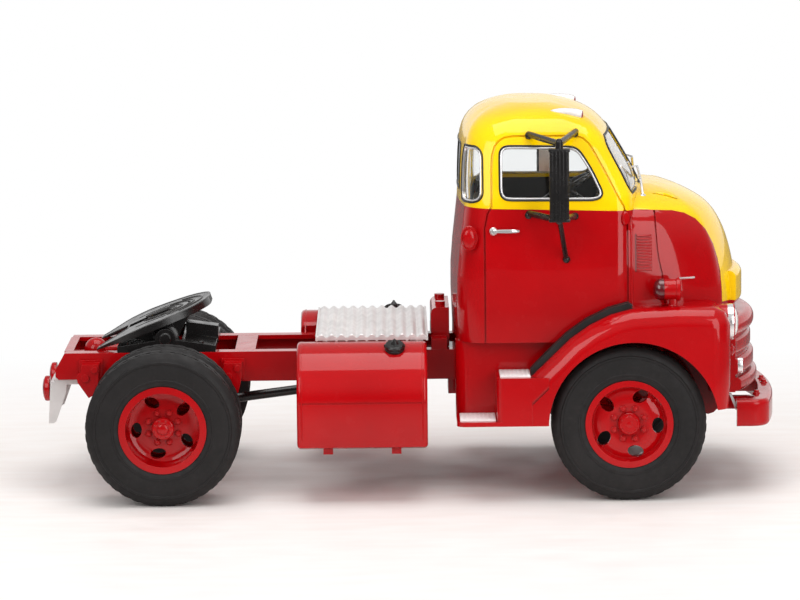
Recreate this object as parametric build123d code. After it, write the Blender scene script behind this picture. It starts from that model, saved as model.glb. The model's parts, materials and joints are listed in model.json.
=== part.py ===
from build123d import *
import math
import os

# Millimetres.  +X is the front of the tractor, +Y its left side, +Z up.
# The ground is Z = 0 and the middle of the overall length is X = 0.

# ---- driving sizes ----
WHEEL_Z = 12.0
REAR_X = -38.2
FRONT_X = 33.8
TYRE_R = 12.0
BEAD_R = 6.4
RIM_R = 6.8
FRONT_TYRE_OUT = 26.8
FRONT_TYRE_W = 6.4
REAR_TYRE_OUT = 28.0
REAR_TYRE_W = 5.8
TWIN_PITCH = 6.6
PIN_R = 1.0
BORE_R = 1.05
RAIL_OUT = 10.5
RAIL_TOP = 21.7
RAIL_BOTTOM = 17.0
RAIL_WEB = 0.8
RAIL_FLANGE = 2.6
RAIL_REAR = -55.8
RAIL_FRONT = 47.0
DECK_Z = 24.2
WALL = 1.0
SILL_Z = 24.2
BELT_REAR_Z = 45.2
BELT_FRONT_Z = 44.5
PIVOT_X = -38.4
PIVOT_Z = 23.8
PLATE_TILT = 20.5
PLATE_TOP = 3.0
PLATE_THICK = 1.1
KINGPIN_R = 1.75
STOP_TOP = 24.6

os.makedirs("parts", exist_ok=True)
nodes = {}


def bx(x0, x1, y0, y1, z0, z1):
    """A box between two corners."""
    return Pos((x0 + x1) / 2, (y0 + y1) / 2, (z0 + z1) / 2) * Box(x1 - x0, y1 - y0, z1 - z0)


def cyl_y(x, z, r, y0, y1):
    """A round bar along Y."""
    return Pos(x, (y0 + y1) / 2, z) * Rot(90, 0, 0) * Cylinder(r, y1 - y0)


def cyl_z(x, y, r, z0, z1):
    """A round bar along Z."""
    return Pos(x, y, (z0 + z1) / 2) * Cylinder(r, z1 - z0)


def cyl_x(y, z, r, x0, x1):
    """A round bar along X."""
    return Pos((x0 + x1) / 2, y, z) * Rot(0, 90, 0) * Cylinder(r, x1 - x0)


def bar(a, b, r):
    """A round bar from point a to point b."""
    start = Vector(*a)
    end = Vector(*b)
    plane = Plane(origin=start, z_dir=end - start)
    return extrude(plane * Circle(r), (end - start).length)


def prism_y(points, y0, y1):
    """A side-view outline (X, Z) carried from y0 to y1."""
    face = make_face(Polyline(*[(x, y0, z) for x, z in points], close=True))
    return extrude(face, y1 - y0, dir=(0, 1, 0))


def prism_x(points, x0, x1):
    """A front-view outline (Y, Z) carried from x0 to x1."""
    face = make_face(Polyline(*[(x0, y, z) for y, z in points], close=True))
    return extrude(face, x1 - x0, dir=(1, 0, 0))


def prism_z(points, z0, z1):
    """A plan outline (X, Y) carried from z0 to z1."""
    face = make_face(Polyline(*[(x, y, z0) for x, y in points], close=True))
    return extrude(face, z1 - z0, dir=(0, 0, 1))


def turned(points):
    """A ring turned about the Y axis from (radius, y) points."""
    face = make_face(Polyline(*[(r, y, 0) for r, y in points], close=True))
    return revolve(face, Axis.Y)


def front_band(nose_x, drop, y_end, thick, z0, z1, round_r=0.0):
    """A band bowed in plan, with its front edges rounded."""
    back_x = nose_x - thick
    face = make_face([
        ThreePointArc((nose_x - drop, -y_end, z0), (nose_x, 0, z0), (nose_x - drop, y_end, z0)),
        Line((nose_x - drop, y_end, z0), (back_x - drop, y_end, z0)),
        ThreePointArc((back_x - drop, y_end, z0), (back_x, 0, z0), (back_x - drop, -y_end, z0)),
        Line((back_x - drop, -y_end, z0), (nose_x - drop, -y_end, z0)),
    ])
    band = extrude(face, z1 - z0, dir=(0, 0, 1))
    if round_r > 0:
        front = [e for e in band.edges() if e.bounding_box().max.X > nose_x - 0.01]
        band = fillet(front, round_r)
    return band


def flip(shape):
    """The mirror image on the other side of the centre plane."""
    return mirror(shape, Plane.XZ)


def solids_of(shape):
    """The loose solids of a shape, largest first."""
    return sorted(shape.solids(), key=lambda s: -s.volume)


def keep(name, *shapes):
    """Stores solids as one node."""
    found = []
    for shape in shapes:
        found.extend(shape.solids())
    nodes[name] = found


# ---- wheels, built about the origin with the outer side toward -Y ----
def tyre(width):
    half = width / 2
    points = [
        (BEAD_R, -half + 0.8), (RIM_R + 0.15, -half + 0.5), (7.6, -half + 0.12), (8.8, -half),
        (10.3, -half + 0.12), (11.25, -half + 0.5), (11.8, -half + 1.05), (TYRE_R, -half + 1.8),
        (TYRE_R, half - 1.8), (11.8, half - 1.05), (11.25, half - 0.5), (10.3, half - 0.12),
        (8.8, half), (7.6, half - 0.12), (RIM_R + 0.15, half - 0.5), (BEAD_R, half - 0.8),
    ]
    return turned(points)


def hand_holes(radius, long_r, short_r, phase, y0, y1):
    """Five oval openings round a wheel disc."""
    cutters = []
    for step in range(5):
        angle = math.radians(phase + 72 * step)
        x = radius * math.cos(angle)
        z = radius * math.sin(angle)
        oval = Pos(x, y0, z) * Rot(90, 0, 0) * Rot(0, 0, -phase - 72 * step + 90) * Ellipse(long_r, short_r)
        cutters.append(extrude(oval, y1 - y0, dir=(0, 1, 0)))
    return cutters


def nuts(radius, count, r, y0, y1):
    """A ring of wheel nuts."""
    found = []
    for step in range(count):
        angle = 2 * math.pi * (step + 0.5) / count
        found.append(cyl_y(radius * math.cos(angle), radius * math.sin(angle), r, y0, y1))
    return found


def front_rim():
    half = FRONT_TYRE_W / 2
    lip = -half + 0.35
    body = turned([
        (BORE_R, half - 0.8), (BORE_R, lip + 1.6), (0, lip + 1.6), (0, lip - 0.1), (1.2, lip - 0.1), (1.7, lip + 0.4),
        (1.8, lip + 1.1), (3.4, lip + 1.0), (4.6, lip + 1.15), (5.5, lip + 1.5), (5.85, lip), (RIM_R, lip),
        (RIM_R, lip + 0.15), (BEAD_R, lip + 0.45), (BEAD_R, half - 0.8), (RIM_R, half - 0.5), (RIM_R, half - 0.35),
        (5.8, half - 0.35), (5.6, lip + 2.6), (4.4, lip + 2.1), (2.6, lip + 2.0), (2.2, half - 0.8),
    ])
    for cutter in hand_holes(4.5, 1.25, 0.92, 67, lip + 0.5, lip + 3.0):
        body = body - cutter
    for nut in nuts(2.5, 8, 0.34, lip + 0.5, lip + 1.4):
        body = body + nut
    return body


def rear_rims():
    """The twin rims and their hub as one casting; the outer disc is deeply dished."""
    half = REAR_TYRE_W / 2
    lip = -half + 0.35
    inner = TWIN_PITCH
    body = turned([
        (BORE_R, inner + half - 0.6), (BORE_R, lip + 2.9), (0, lip + 2.9), (0, lip + 1.5), (1.3, lip + 1.5),
        (1.75, lip + 2.0), (1.75, lip + 3.2), (3.0, lip + 3.25), (4.6, lip + 3.5), (5.3, lip + 3.2), (5.75, lip),
        (RIM_R, lip), (RIM_R, lip + 0.15), (BEAD_R, lip + 0.45), (BEAD_R, half - 0.8), (RIM_R, half - 0.5),
        (RIM_R, half - 0.35), (5.7, half - 0.35), (5.5, lip + 4.6), (3.0, lip + 4.3), (2.4, lip + 4.4),
        (2.4, inner - 1.6), (3.0, inner - 1.4), (5.4, inner - 1.2), (5.7, inner - half + 0.35),
        (RIM_R, inner - half + 0.35), (RIM_R, inner - half + 0.5), (BEAD_R, inner - half + 0.8),
        (BEAD_R, inner + half - 0.8), (RIM_R, inner + half - 0.5), (RIM_R, inner + half - 0.35),
        (5.8, inner + half - 0.35), (5.6, inner - 0.2), (3.0, inner - 0.6), (2.0, inner - 0.4), (2.0, inner + half - 0.6),
    ])
    for cutter in hand_holes(4.2, 1.2, 0.82, 42, lip + 1.8, inner + 0.6):
        body = body - cutter
    for nut in nuts(2.45, 8, 0.34, lip + 2.7, lip + 3.6):
        body = body + nut
    return body


front_mid = FRONT_TYRE_OUT - FRONT_TYRE_W / 2
rear_mid = REAR_TYRE_OUT - REAR_TYRE_W / 2
front_tyre_right = Pos(FRONT_X, -front_mid, WHEEL_Z) * tyre(FRONT_TYRE_W)
front_rim_right = Pos(FRONT_X, -front_mid, WHEEL_Z) * front_rim()
rear_tyres_right = [Pos(REAR_X, -rear_mid + k * TWIN_PITCH, WHEEL_Z) * tyre(REAR_TYRE_W) for k in (0, 1)]
rear_rims_right = Pos(REAR_X, -rear_mid, WHEEL_Z) * rear_rims()
keep("front_tyre_right", front_tyre_right)
keep("front_tyre_left", flip(front_tyre_right))
keep("front_rim_right", front_rim_right)
keep("front_rim_left", flip(front_rim_right))
keep("rear_tyres_right", *rear_tyres_right)
keep("rear_tyres_left", *[flip(t) for t in rear_tyres_right])
keep("rear_rims_right", rear_rims_right)
keep("rear_rims_left", flip(rear_rims_right))

# ---- axles and springs ----
rear_axle = cyl_y(REAR_X, WHEEL_Z, 1.7, -14.4, 14.4)
rear_axle = rear_axle + cyl_y(REAR_X, WHEEL_Z, PIN_R, -24.2, 24.2)
rear_axle = rear_axle + cyl_y(REAR_X, WHEEL_Z, 3.9, -2.2, 2.2)
rear_axle = rear_axle + cyl_x(0, WHEEL_Z, 1.9, REAR_X, REAR_X + 5.2)
keep("rear_axle", rear_axle)

front_beam = bx(FRONT_X - 1.1, FRONT_X + 1.1, -14.0, 14.0, 8.6, 10.4)
for side in (-1, 1):
    knuckle = bx(FRONT_X - 1.3, FRONT_X + 1.3, min(side * 13.8, side * 18.6), max(side * 13.8, side * 18.6), 8.6, 13.6)
    front_beam = front_beam + knuckle
    front_beam = front_beam + cyl_y(FRONT_X, WHEEL_Z, PIN_R, min(side * 18.4, side * 24.0), max(side * 18.4, side * 24.0))
keep("front_axle", front_beam)


def leaf_spring(xc, half, z_mid, z_end, y, width, thick):
    """A bowed leaf stack that is lowest at its middle."""
    lower = [(xc - half, z_end), (xc - half * 0.5, z_end * 0.3 + z_mid * 0.7), (xc, z_mid)]
    lower = lower + [(xc + half * 0.5, z_end * 0.3 + z_mid * 0.7), (xc + half, z_end)]
    upper = [(x, z + thick * (1.0 if abs(x - xc) < half * 0.8 else 0.6)) for x, z in reversed(lower)]
    return prism_y(lower + upper, y - width / 2, y + width / 2)


springs = []
for side in (-1, 1):
    springs.append(leaf_spring(REAR_X - 0.9, 11.2, 13.75, 15.3, side * 12.1, 2.0, 1.7))
    springs.append(leaf_spring(FRONT_X, 9.5, 10.45, 13.2, side * 9.35, 1.3, 1.4))
keep("leaf_springs", *springs)

hangers = []
REAR_HANGER = [
    (-1.1, 4.3), (-1.2, 3.2), (-1.9, 2.5), (-1.7, 1.5), (-0.9, 0.3), (0.0, -1.0), (1.1, -0.3), (1.5, 1.2), (1.7, 4.3),
]
FRONT_HANGER = [(-1.2, 2.7), (-1.0, 0.2), (0.0, -0.6), (1.0, 0.2), (1.2, 2.7)]
hanger_table = [
    # side outline, x of the spring eye, z of the eye, y inside, y outside
    (REAR_HANGER, -50.4, 16.0, RAIL_OUT, 13.6),
    (REAR_HANGER, -28.0, 16.0, RAIL_OUT, 13.6),
    (FRONT_HANGER, 24.4, 14.3, 8.3, 10.4),
    (FRONT_HANGER, 43.2, 14.3, 8.3, 10.4),
]
for outline, x, z, y0, y1 in hanger_table:
    points = [(x + dx, z + dz) for dx, dz in outline]
    body = prism_y(points, -y1, -y0)
    if y0 == RAIL_OUT:
        body = body + bx(x - 1.6, x + 2.1, -y0 - 0.7, -y0, z + 1.4, z + 4.7)
        body = body + cyl_y(x - 0.5, z + 2.2, 0.6, -y1 - 0.4, -y0) + cyl_y(x + 1.0, z + 3.5, 0.5, -y1 - 0.4, -y0)
    for leaf in springs:
        body = body - leaf
    hangers.append(body)
    hangers.append(flip(body))
keep("spring_hangers", *hangers)

# ---- frame ----
def rail():
    """One channel rail on the right side, open toward the centre line."""
    side_view = [
        (RAIL_REAR, 18.0), (RAIL_REAR + 0.5, 17.5), (-51.2, 17.5), (-50.4, RAIL_BOTTOM),
        (RAIL_FRONT, RAIL_BOTTOM), (RAIL_FRONT, RAIL_TOP), (RAIL_REAR + 1.5, RAIL_TOP), (RAIL_REAR, 19.1),
    ]
    body = prism_y(side_view, -RAIL_OUT, -RAIL_OUT + RAIL_FLANGE)
    inside = bx(RAIL_REAR - 1, RAIL_FRONT + 1, -RAIL_OUT + RAIL_WEB, 0, RAIL_BOTTOM + 0.7, RAIL_TOP - 0.7)
    inside = inside - bx(RAIL_REAR - 1, -50.4, -RAIL_OUT, 0, RAIL_BOTTOM, 18.1)
    return body - inside


keep("frame_rails", rail(), flip(rail()))

members = []
member_table = [
    # x0, x1, z0, z1
    (-54.5, -53.1, 18.2, 21.7),
    (-27.5, -24.3, 17.75, 21.7),
    (-12.0, -10.0, 17.75, 20.95),
    (4.0, 6.0, 17.75, 20.95),
    (44.6, 46.6, 17.75, 20.95),
]
for x0, x1, z0, z1 in member_table:
    member = bx(x0, x1, -RAIL_OUT + RAIL_WEB, RAIL_OUT - RAIL_WEB, z0, min(z1, RAIL_TOP - 0.75))
    if z1 > RAIL_TOP - 0.75:
        gap = RAIL_OUT - RAIL_FLANGE - 0.1
        member = member + bx(x0, x1, -gap, gap, z0, z1)
    members.append(member)
hitch_beam = bx(-53.1, -46.0, -1.2, 1.2, 18.6, 20.6)
hitch_beam = hitch_beam + bx(-47.6, -46.0, -RAIL_OUT + RAIL_WEB, RAIL_OUT - RAIL_WEB, 17.75, 20.6)
hitch_beam = hitch_beam + Pos(-50.0, 0, 20.8) * Sphere(1.9) + cyl_x(0, 20.6, 1.2, -50.0, -46.0)
members[0] = members[0] + hitch_beam
keep("frame_crossmembers", *members)

# ---- drive line ----
engine = bx(14.0, 40.0, -6.5, 6.5, 13.0, 31.0)
gearbox = bx(5.0 + 1.2, 14.0, -3.6, 3.6, 13.6, 21.0)
power = engine + gearbox
keep("engine_and_gearbox", power)
shaft = bar((REAR_X + 4.6, 0, WHEEL_Z), (6.6, 0, 17.0), 0.75) - rear_axle - power
keep("driveshaft", solids_of(shaft)[0])

# ---- fuel tanks and deck ----
TANK_X0 = -17.5
TANK_X1 = 2.7
TANK_OUT = 27.0
TANK_IN = 13.4
TANK_LOW = 8.6
TANK_R = 8.4
SEAM_Z = 15.8


def tank():
    """The right-hand tank: square below the seam and half a cylinder above it."""
    crown = TANK_OUT - TANK_R
    low = Polyline(
        (TANK_X0, -TANK_IN, SEAM_Z + 6.6), (TANK_X0, -TANK_IN, TANK_LOW), (TANK_X0, -TANK_OUT + 1.1, TANK_LOW),
        (TANK_X0, -TANK_OUT + 0.3, TANK_LOW + 0.3), (TANK_X0, -TANK_OUT, TANK_LOW + 1.1), (TANK_X0, -TANK_OUT, SEAM_Z),
    )
    side_y = -crown - TANK_R * 0.7071
    top = ThreePointArc(
        (TANK_X0, -TANK_OUT, SEAM_Z), (TANK_X0, side_y, SEAM_Z + TANK_R * 0.7071), (TANK_X0, -TANK_IN, SEAM_Z + 6.6)
    )
    body = extrude(make_face([low, top]), TANK_X1 - TANK_X0, dir=(1, 0, 0))
    ends = []
    for edge in body.edges():
        at_end = min(abs(edge.center().X - TANK_X0), abs(edge.center().X - TANK_X1)) < 0.01
        if at_end and edge.center().Y < -TANK_IN - 0.1:
            ends.append(edge)
    body = fillet(ends, 0.6)
    return body - bx(TANK_X0 - 1, TANK_X1 + 1, -28, -26.85, SEAM_Z - 0.12, SEAM_Z + 0.12)


tank_right = tank()
keep("fuel_tank_right", tank_right)
keep("fuel_tank_left", flip(tank_right))

brackets = []
for x0 in (-13.5, -2.9):
    for side in (-1, 1):
        upright = bx(x0, x0 + 1.5, min(side * 10.5, side * 13.4), max(side * 10.5, side * 13.4), 7.5, 20.4)
        foot = bx(x0, x0 + 1.5, min(side * 13.4, side * 24.6), max(side * 13.4, side * 24.6), 7.5, TANK_LOW)
        brackets.append(upright + foot)
keep("tank_brackets", *brackets)

caps = []
for side in (-1, 1):
    lift = Plane(origin=(-2.3, side * 22.0, 23.6), z_dir=(0, side * 0.4, 0.917))
    cap = extrude(lift * Circle(1.45), 0.7) + extrude(lift * Circle(0.9), -0.7) + extrude(lift * Circle(0.5), 1.2)
    caps.append(cap - (tank_right if side < 0 else flip(tank_right)))
keep("fuel_caps", *[solids_of(c)[0] for c in caps])

deck = bx(-14.5, 2.8, -16.8, 16.8, DECK_Z, DECK_Z + 0.5)
for x0 in (-13.6, 0.2):
    deck = deck + bx(x0, x0 + 2.0, -10.5, 10.5, RAIL_TOP, DECK_Z)
keep("deck_plate", deck)
rear_mount = bx(3.5, 6.4, -7.0, 7.0, RAIL_TOP, 27.9)
rear_mount = fillet(rear_mount.edges().filter_by(Axis.Y).filter_by(lambda e: e.center().X < 4 and e.center().Z > 27), 1.0)
rear_mount = rear_mount + cyl_z(5.0, -4.5, 0.8, 27.6, 28.6) + cyl_z(5.0, 4.5, 0.8, 27.6, 28.6)
rear_mount = rear_mount + bx(3.5, 6.0, -10.5, 10.5, RAIL_TOP, 23.4)
keep("cab_rear_mount", rear_mount)

# ---- fifth wheel ----
def fifth_wheel():
    """The coupling plate, level and centred on its pivot; +X is forward."""
    top = PLATE_TOP
    half_plan = [
        Line((8.2, 0), (8.2, 2.2)),
        ThreePointArc((8.2, 2.2), (6.5, 7.1), (2.8, 9.7)),
        ThreePointArc((2.8, 9.7), (-2.4, 10.6), (-7.0, 9.8)),
        Polyline((-7.0, 9.8), (-9.4, 8.0), (-11.0, 7.3), (-11.0, 5.2), (-5.8, KINGPIN_R), (0, KINGPIN_R), (0, 0)),
        Line((0, 0), (8.2, 0)),
    ]
    half = extrude(make_face(half_plan), PLATE_THICK)
    plate = Pos(0, 0, top - PLATE_THICK) * (half + flip(half))
    ramp = [(-2.5, top), (-5.6, top - 0.2), (-11.1, top - PLATE_THICK + 0.15), (-11.1, top + 1), (-2.5, top + 1)]
    plate = plate - prism_y(ramp, -12, 12)
    plate = plate - cyl_z(0, 0, KINGPIN_R, -5, 5)
    for side in (-1, 1):
        plate = plate + bx(-1.8, 1.8, min(side * 7.0, side * 8.6), max(side * 7.0, side * 8.6), -1.3, top - 0.5)
        slot = Pos(-1.6, side * 5.6, top - 2) * Rot(0, 0, side * 8) * SlotOverall(5.4, 0.9)
        plate = plate - extrude(slot, 4.0)
    ring = Circle(5.0) - Circle(4.6)
    ring = Pos(0, 0, top - 0.2) * extrude(ring, 1.0) & bx(1.2, 8.0, -8, 8, 0, 8)
    plate = plate - ring
    return plate - cyl_y(0, 0, BORE_R, -12, 12)


keep("fifth_wheel_plate", Pos(PIVOT_X, 0, PIVOT_Z) * Rot(0, -PLATE_TILT, 0) * fifth_wheel())
saddle = [
    (PIVOT_X - 7.6, RAIL_TOP), (PIVOT_X - 7.6, 22.6), (PIVOT_X - 2.0, 23.5), (PIVOT_X + 2.0, 23.6),
    (PIVOT_X + 7.9, 22.7), (PIVOT_X + 7.9, RAIL_TOP),
]
mount = prism_y(saddle, -RAIL_OUT, RAIL_OUT)
for side in (-1, 1):
    y0 = min(side * 9.1, side * 10.5)
    y1 = max(side * 9.1, side * 10.5)
    mount = mount + bx(PIVOT_X - 1.6, PIVOT_X + 1.6, y0, y1, RAIL_TOP, PIVOT_Z) + cyl_y(PIVOT_X, PIVOT_Z, 1.6, y0, y1)
mount = mount - bx(PIVOT_X - 2.5, PIVOT_X + 2.5, -9.0, 9.0, 20.0, 24.0)
mount = mount + cyl_y(PIVOT_X, PIVOT_Z, PIN_R, -10.5, 10.5)
stop = [
    (PIVOT_X + 2.9, 22.0), (PIVOT_X + 2.9, STOP_TOP + 0.7), (PIVOT_X + 8.0, STOP_TOP), (PIVOT_X + 8.0, 22.0),
]
mount = mount + prism_y(stop, -1.6, 1.6)
keep("fifth_wheel_mount", mount)

# ---- tail ----
TAIL_LAMP_Y = 7.3
TAIL_LAMP_Z = 15.7
lamps = []
for side in (-1, 1):
    lamp = cyl_x(side * TAIL_LAMP_Y, TAIL_LAMP_Z, 1.95, -58.1, -56.9)
    lamps.append(fillet(lamp.edges().filter_by(lambda e: e.center().X < -58.0), 0.4))
keep("tail_lamps", *lamps)
tail_plate = prism_y([(-56.7, 17.0), (-56.2, 17.0), (-56.6, 10.4), (-57.1, 10.4)], -9.4, 9.4)
TAIL_FLANGE = [(-56.7, 17.0), (-54.1, 17.0), (-54.2, 15.4), (-55.9, 10.7), (-56.3, 10.4), (-57.1, 10.4)]
for side in (-1, 1):
    y0 = min(side * 8.6, side * 9.4)
    y1 = max(side * 8.6, side * 9.4)
    tail_plate = tail_plate + prism_y(TAIL_FLANGE, y0, y1)
    tail_plate = tail_plate + bx(-56.0, -51.6, y0, y1, 16.6, 17.5)
keep("tail_bracket", tail_plate)

# ---- cab shell ----
CAB_TABLE = [
    # z, rear x, front x at the centre, half width, rear corner radius, front corner radius, rear bow, front vee
    (SILL_Z, 7.0, 37.0, 21.6, 4.5, 3.0, 0.6, 2.0),
    (34.0, 6.8, 37.0, 22.0, 4.5, 3.0, 0.7, 2.0),
    (45.0, 7.9, 37.0, 21.0, 5.0, 3.0, 0.8, 2.0),
    (48.0, 7.9, 36.4, 20.4, 5.2, 3.0, 0.8, 2.0),
    (53.0, 8.1, 33.7, 19.2, 5.2, 3.0, 0.8, 1.7),
    (56.3, 8.7, 31.6, 18.0, 5.5, 3.4, 0.8, 1.4),
    (58.4, 10.2, 29.4, 16.0, 5.8, 4.4, 0.8, 1.2),
    (59.7, 12.4, 26.6, 13.0, 5.8, 5.0, 0.8, 1.0),
    (60.4, 15.2, 23.4, 9.0, 3.0, 3.0, 0.6, 0.8),
]
NOSE_TABLE = [
    # z, nose x at the centre, half width
    (SILL_Z, 51.9, 21.4),
    (30.0, 52.2, 21.6),
    (34.5, 51.6, 21.6),
    (38.5, 50.6, 21.5),
    (41.6, 49.2, 21.2),
    (43.7, 47.5, 20.4),
    (45.2, 45.2, 18.2),
    (46.5, 42.2, 14.4),
    (47.3, 38.6, 8.5),
]
NOSE_REAR = 31.0
ROOF_Z = CAB_TABLE[-1][0]
NOSE_TOP_Z = NOSE_TABLE[-1][0]


def smooth_rows(table, steps):
    """The rows of a table and more between them, on a Catmull-Rom curve through every column."""
    rows = []
    last = len(table) - 1
    for k in range(last):
        near = (table[max(k - 1, 0)], table[k], table[k + 1], table[min(k + 2, last)])
        for step in range(steps):
            t = step / steps
            row = []
            for a, b, c, d in zip(*near):
                bend = (2 * a - 5 * b + 4 * c - d) * t ** 2 + (3 * b - a - 3 * c + d) * t ** 3
                row.append(b + 0.5 * ((c - a) * t + bend))
            rows.append(row)
    rows.append(table[last])
    return rows


def cab_section(z, xr, xf, w, rr, rf, bow, vee):
    """A plan section of the cab: bowed back, round corners and a shallow vee in front."""
    spare = min(0.0, (xf - vee - rf) - (xr + bow + rr) - 0.3)
    rr = rr + spare / 2
    rf = rf + spare / 2
    back = ThreePointArc((xr + bow, w - rr, z), (xr, 0, z), (xr + bow, -w + rr, z))
    corner_a = ThreePointArc((xr + bow, -w + rr, z), (xr + bow + rr * 0.293, -w + rr * 0.293, z), (xr + bow + rr, -w, z))
    fx = xf - vee
    side_a = Line((xr + bow + rr, -w, z), (fx - rf, -w, z))
    corner_b = ThreePointArc((fx - rf, -w, z), (fx - rf * 0.293, -w + rf * 0.293, z), (fx, -w + rf, z))
    front = ThreePointArc((fx, -w + rf, z), (xf, 0, z), (fx, w - rf, z))
    corner_c = ThreePointArc((fx, w - rf, z), (fx - rf * 0.293, w - rf * 0.293, z), (fx - rf, w, z))
    side_b = Line((fx - rf, w, z), (xr + bow + rr, w, z))
    corner_d = ThreePointArc((xr + bow + rr, w, z), (xr + bow + rr * 0.293, w - rr * 0.293, z), (xr + bow, w - rr, z))
    return make_face([back, corner_a, side_a, corner_b, front, corner_c, side_b, corner_d])


def nose_section(z, xn, w):
    """A plan section of the bonnet: straight sides, wide round corners and a bowed front."""
    yq = 0.7 * w
    drop = 3.3 * (yq / 15.0) ** 2
    lean = math.atan(2 * drop / yq)
    reach = (w - yq) * math.tan((lean + math.pi / 2) / 2)
    xq = xn - drop
    xs = xq - reach
    ws = w - 0.05 * w
    side_a = Polyline((NOSE_REAR, w, z), (NOSE_REAR, -w, z), (xs, -ws, z))
    corner_a = TangentArc((xs, -ws, z), (xq, -yq, z), tangent=(1, 0.12, 0))
    front = ThreePointArc((xq, -yq, z), (xn, 0, z), (xq, yq, z))
    corner_b = TangentArc((xs, ws, z), (xq, yq, z), tangent=(1, -0.12, 0))
    side_b = Line((xs, ws, z), (NOSE_REAR, w, z))
    return make_face([side_a, corner_a, front, corner_b, side_b])


def cab_volume(inset, bottom):
    """The outside of the cab and bonnet, moved inward by an inset."""
    rows = []
    for z, xr, xf, w, rr, rf, bow, vee in smooth_rows(CAB_TABLE, 3):
        zz = z - inset * max(0.0, (z - 50.0) / (ROOF_Z - 50.0))
        rows.append(cab_section(zz, xr + inset, xf - inset, w - inset, rr - 0.4 * inset, rf - 0.4 * inset, bow, vee))
    nose_rows = []
    for z, xn, w in smooth_rows(NOSE_TABLE, 3):
        zz = z - inset * max(0.0, (z - 38.0) / (NOSE_TOP_Z - 38.0))
        nose_rows.append(nose_section(zz, xn - inset, w - inset))
    body = loft(rows, ruled=True) + loft(nose_rows, ruled=True)
    if bottom < SILL_Z:
        for foot in (rows[0], nose_rows[0]):
            body = body + extrude(foot, SILL_Z - bottom, dir=(0, 0, -1))
    return body


outer = cab_volume(0.0, SILL_Z)
inner = cab_volume(WALL, SILL_Z - 1.0)
shell = outer - inner

SIDE_WINDOW = [
    (15.4, 46.3), (28.7, 46.2), (29.7, 46.5), (30.2, 47.3), (28.6, 50.7), (27.2, 53.0), (26.5, 53.9), (25.5, 54.4),
    (15.4, 54.6), (14.6, 54.3), (14.2, 53.6), (14.2, 47.5), (14.6, 46.7),
]
QUARTER_SIDE = [(5.0, 45.9), (10.4, 45.9), (11.1, 46.2), (11.4, 47.0), (11.3, 53.4), (11.0, 54.1), (10.3, 54.4), (5.0, 54.4)]
QUARTER_REAR = [(-25, 45.9), (-14.2, 45.9), (-13.5, 46.2), (-13.2, 47.0), (-13.2, 53.4), (-13.5, 54.1), (-14.2, 54.4), (-25, 54.4)]
REAR_WINDOW = [(-8.4, 47.0), (8.4, 47.0), (9.2, 47.8), (9.0, 53.2), (8.2, 54.0), (-8.2, 54.0), (-9.0, 53.2), (-9.2, 47.8)]
SCREEN = [(0.6, 48.0), (17.6, 47.0), (18.4, 47.3), (18.6, 48.2), (18.0, 51.4), (17.4, 53.8), (16.6, 55.0), (15.2, 55.6), (0.6, 56.0)]

DOOR_GAP = [
    (11.8, 20.0), (11.8, 42.0), (12.3, 44.3), (12.9, 45.4), (12.95, 51.0), (13.1, 53.2), (13.5, 54.5), (14.1, 55.3),
    (15.0, 55.8), (16.2, 56.0), (26.0, 56.0), (27.2, 55.6), (28.1, 54.8), (28.9, 53.5), (30.7, 50.2), (32.2, 47.2),
    (33.3, 45.3), (33.8, 43.6), (33.9, 42.0), (33.9, 20.0),
]
HOOD_GAP = [(38.2, 44.3), (38.3, 41.6), (38.5, 38.6), (38.8, 36.6), (39.3, 34.4), (39.7, 31.0), (39.9, 20.0)]
GAP_WIDE = 0.28
GAP_DEEP = 0.3


def side_gap(points):
    """The solid that cuts a narrow line along a side-view path."""
    path = Polyline(*[(x, 0, z) for x, z in points])
    return extrude(Plane.XZ * trace(Plane.XZ.to_local_coords(path), GAP_WIDE), 30, both=True)


cut_side = prism_y(SIDE_WINDOW, -30, 30)
cut_quarter = prism_y(QUARTER_SIDE, -25, -10) & prism_x(QUARTER_REAR, 4, 13)
cut_quarters = cut_quarter + flip(cut_quarter)
cut_rear = prism_x(REAR_WINDOW, 4, 12)
cut_screen = prism_x(SCREEN, 27, 44) + flip(prism_x(SCREEN, 27, 44))
nose_pad = front_band(53.1, 1.6, 10.5, 4.0, 28.3, 33.7, 1.1) - inner
shell = shell + nose_pad
for cutter in (cut_side, cut_quarters, cut_rear, cut_screen):
    shell = shell - cutter
groove_floor = cab_volume(GAP_DEEP, SILL_Z - 1.0)
for points in (DOOR_GAP, HOOD_GAP):
    shell = shell - (side_gap(points) - groove_floor)

YELLOW = [
    (-5, BELT_REAR_Z), (7, BELT_REAR_Z), (34.2, BELT_FRONT_Z), (37.0, 44.4), (41.0, 44.1), (43.0, 43.6), (44.8, 42.6),
    (46.4, 40.9), (47.6, 38.6), (48.3, 36.3), (48.8, 34.0), (49.0, 31.0), (49.0, 29.4), (56, 28.2), (70, 28.2),
    (70, 70), (-5, 70),
]
paint_split = prism_y(YELLOW, -30, 30)
keep("cab_upper", shell & paint_split)
corner_cap = cyl_y(9.4, 40.6, 1.3, -21.8, -19.5) - outer
keep("cab_lower", (shell - paint_split) + solids_of(corner_cap)[0])

pane_outer = cab_volume(0.25, SILL_Z - 1.0)
pane_inner = cab_volume(0.7, SILL_Z - 1.0)
panes = pane_outer - pane_inner
keep("side_glass", panes & cut_side)
keep("rear_glass", panes & cut_rear, panes & cut_quarters)
keep("windscreen", panes & cut_screen)

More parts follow.
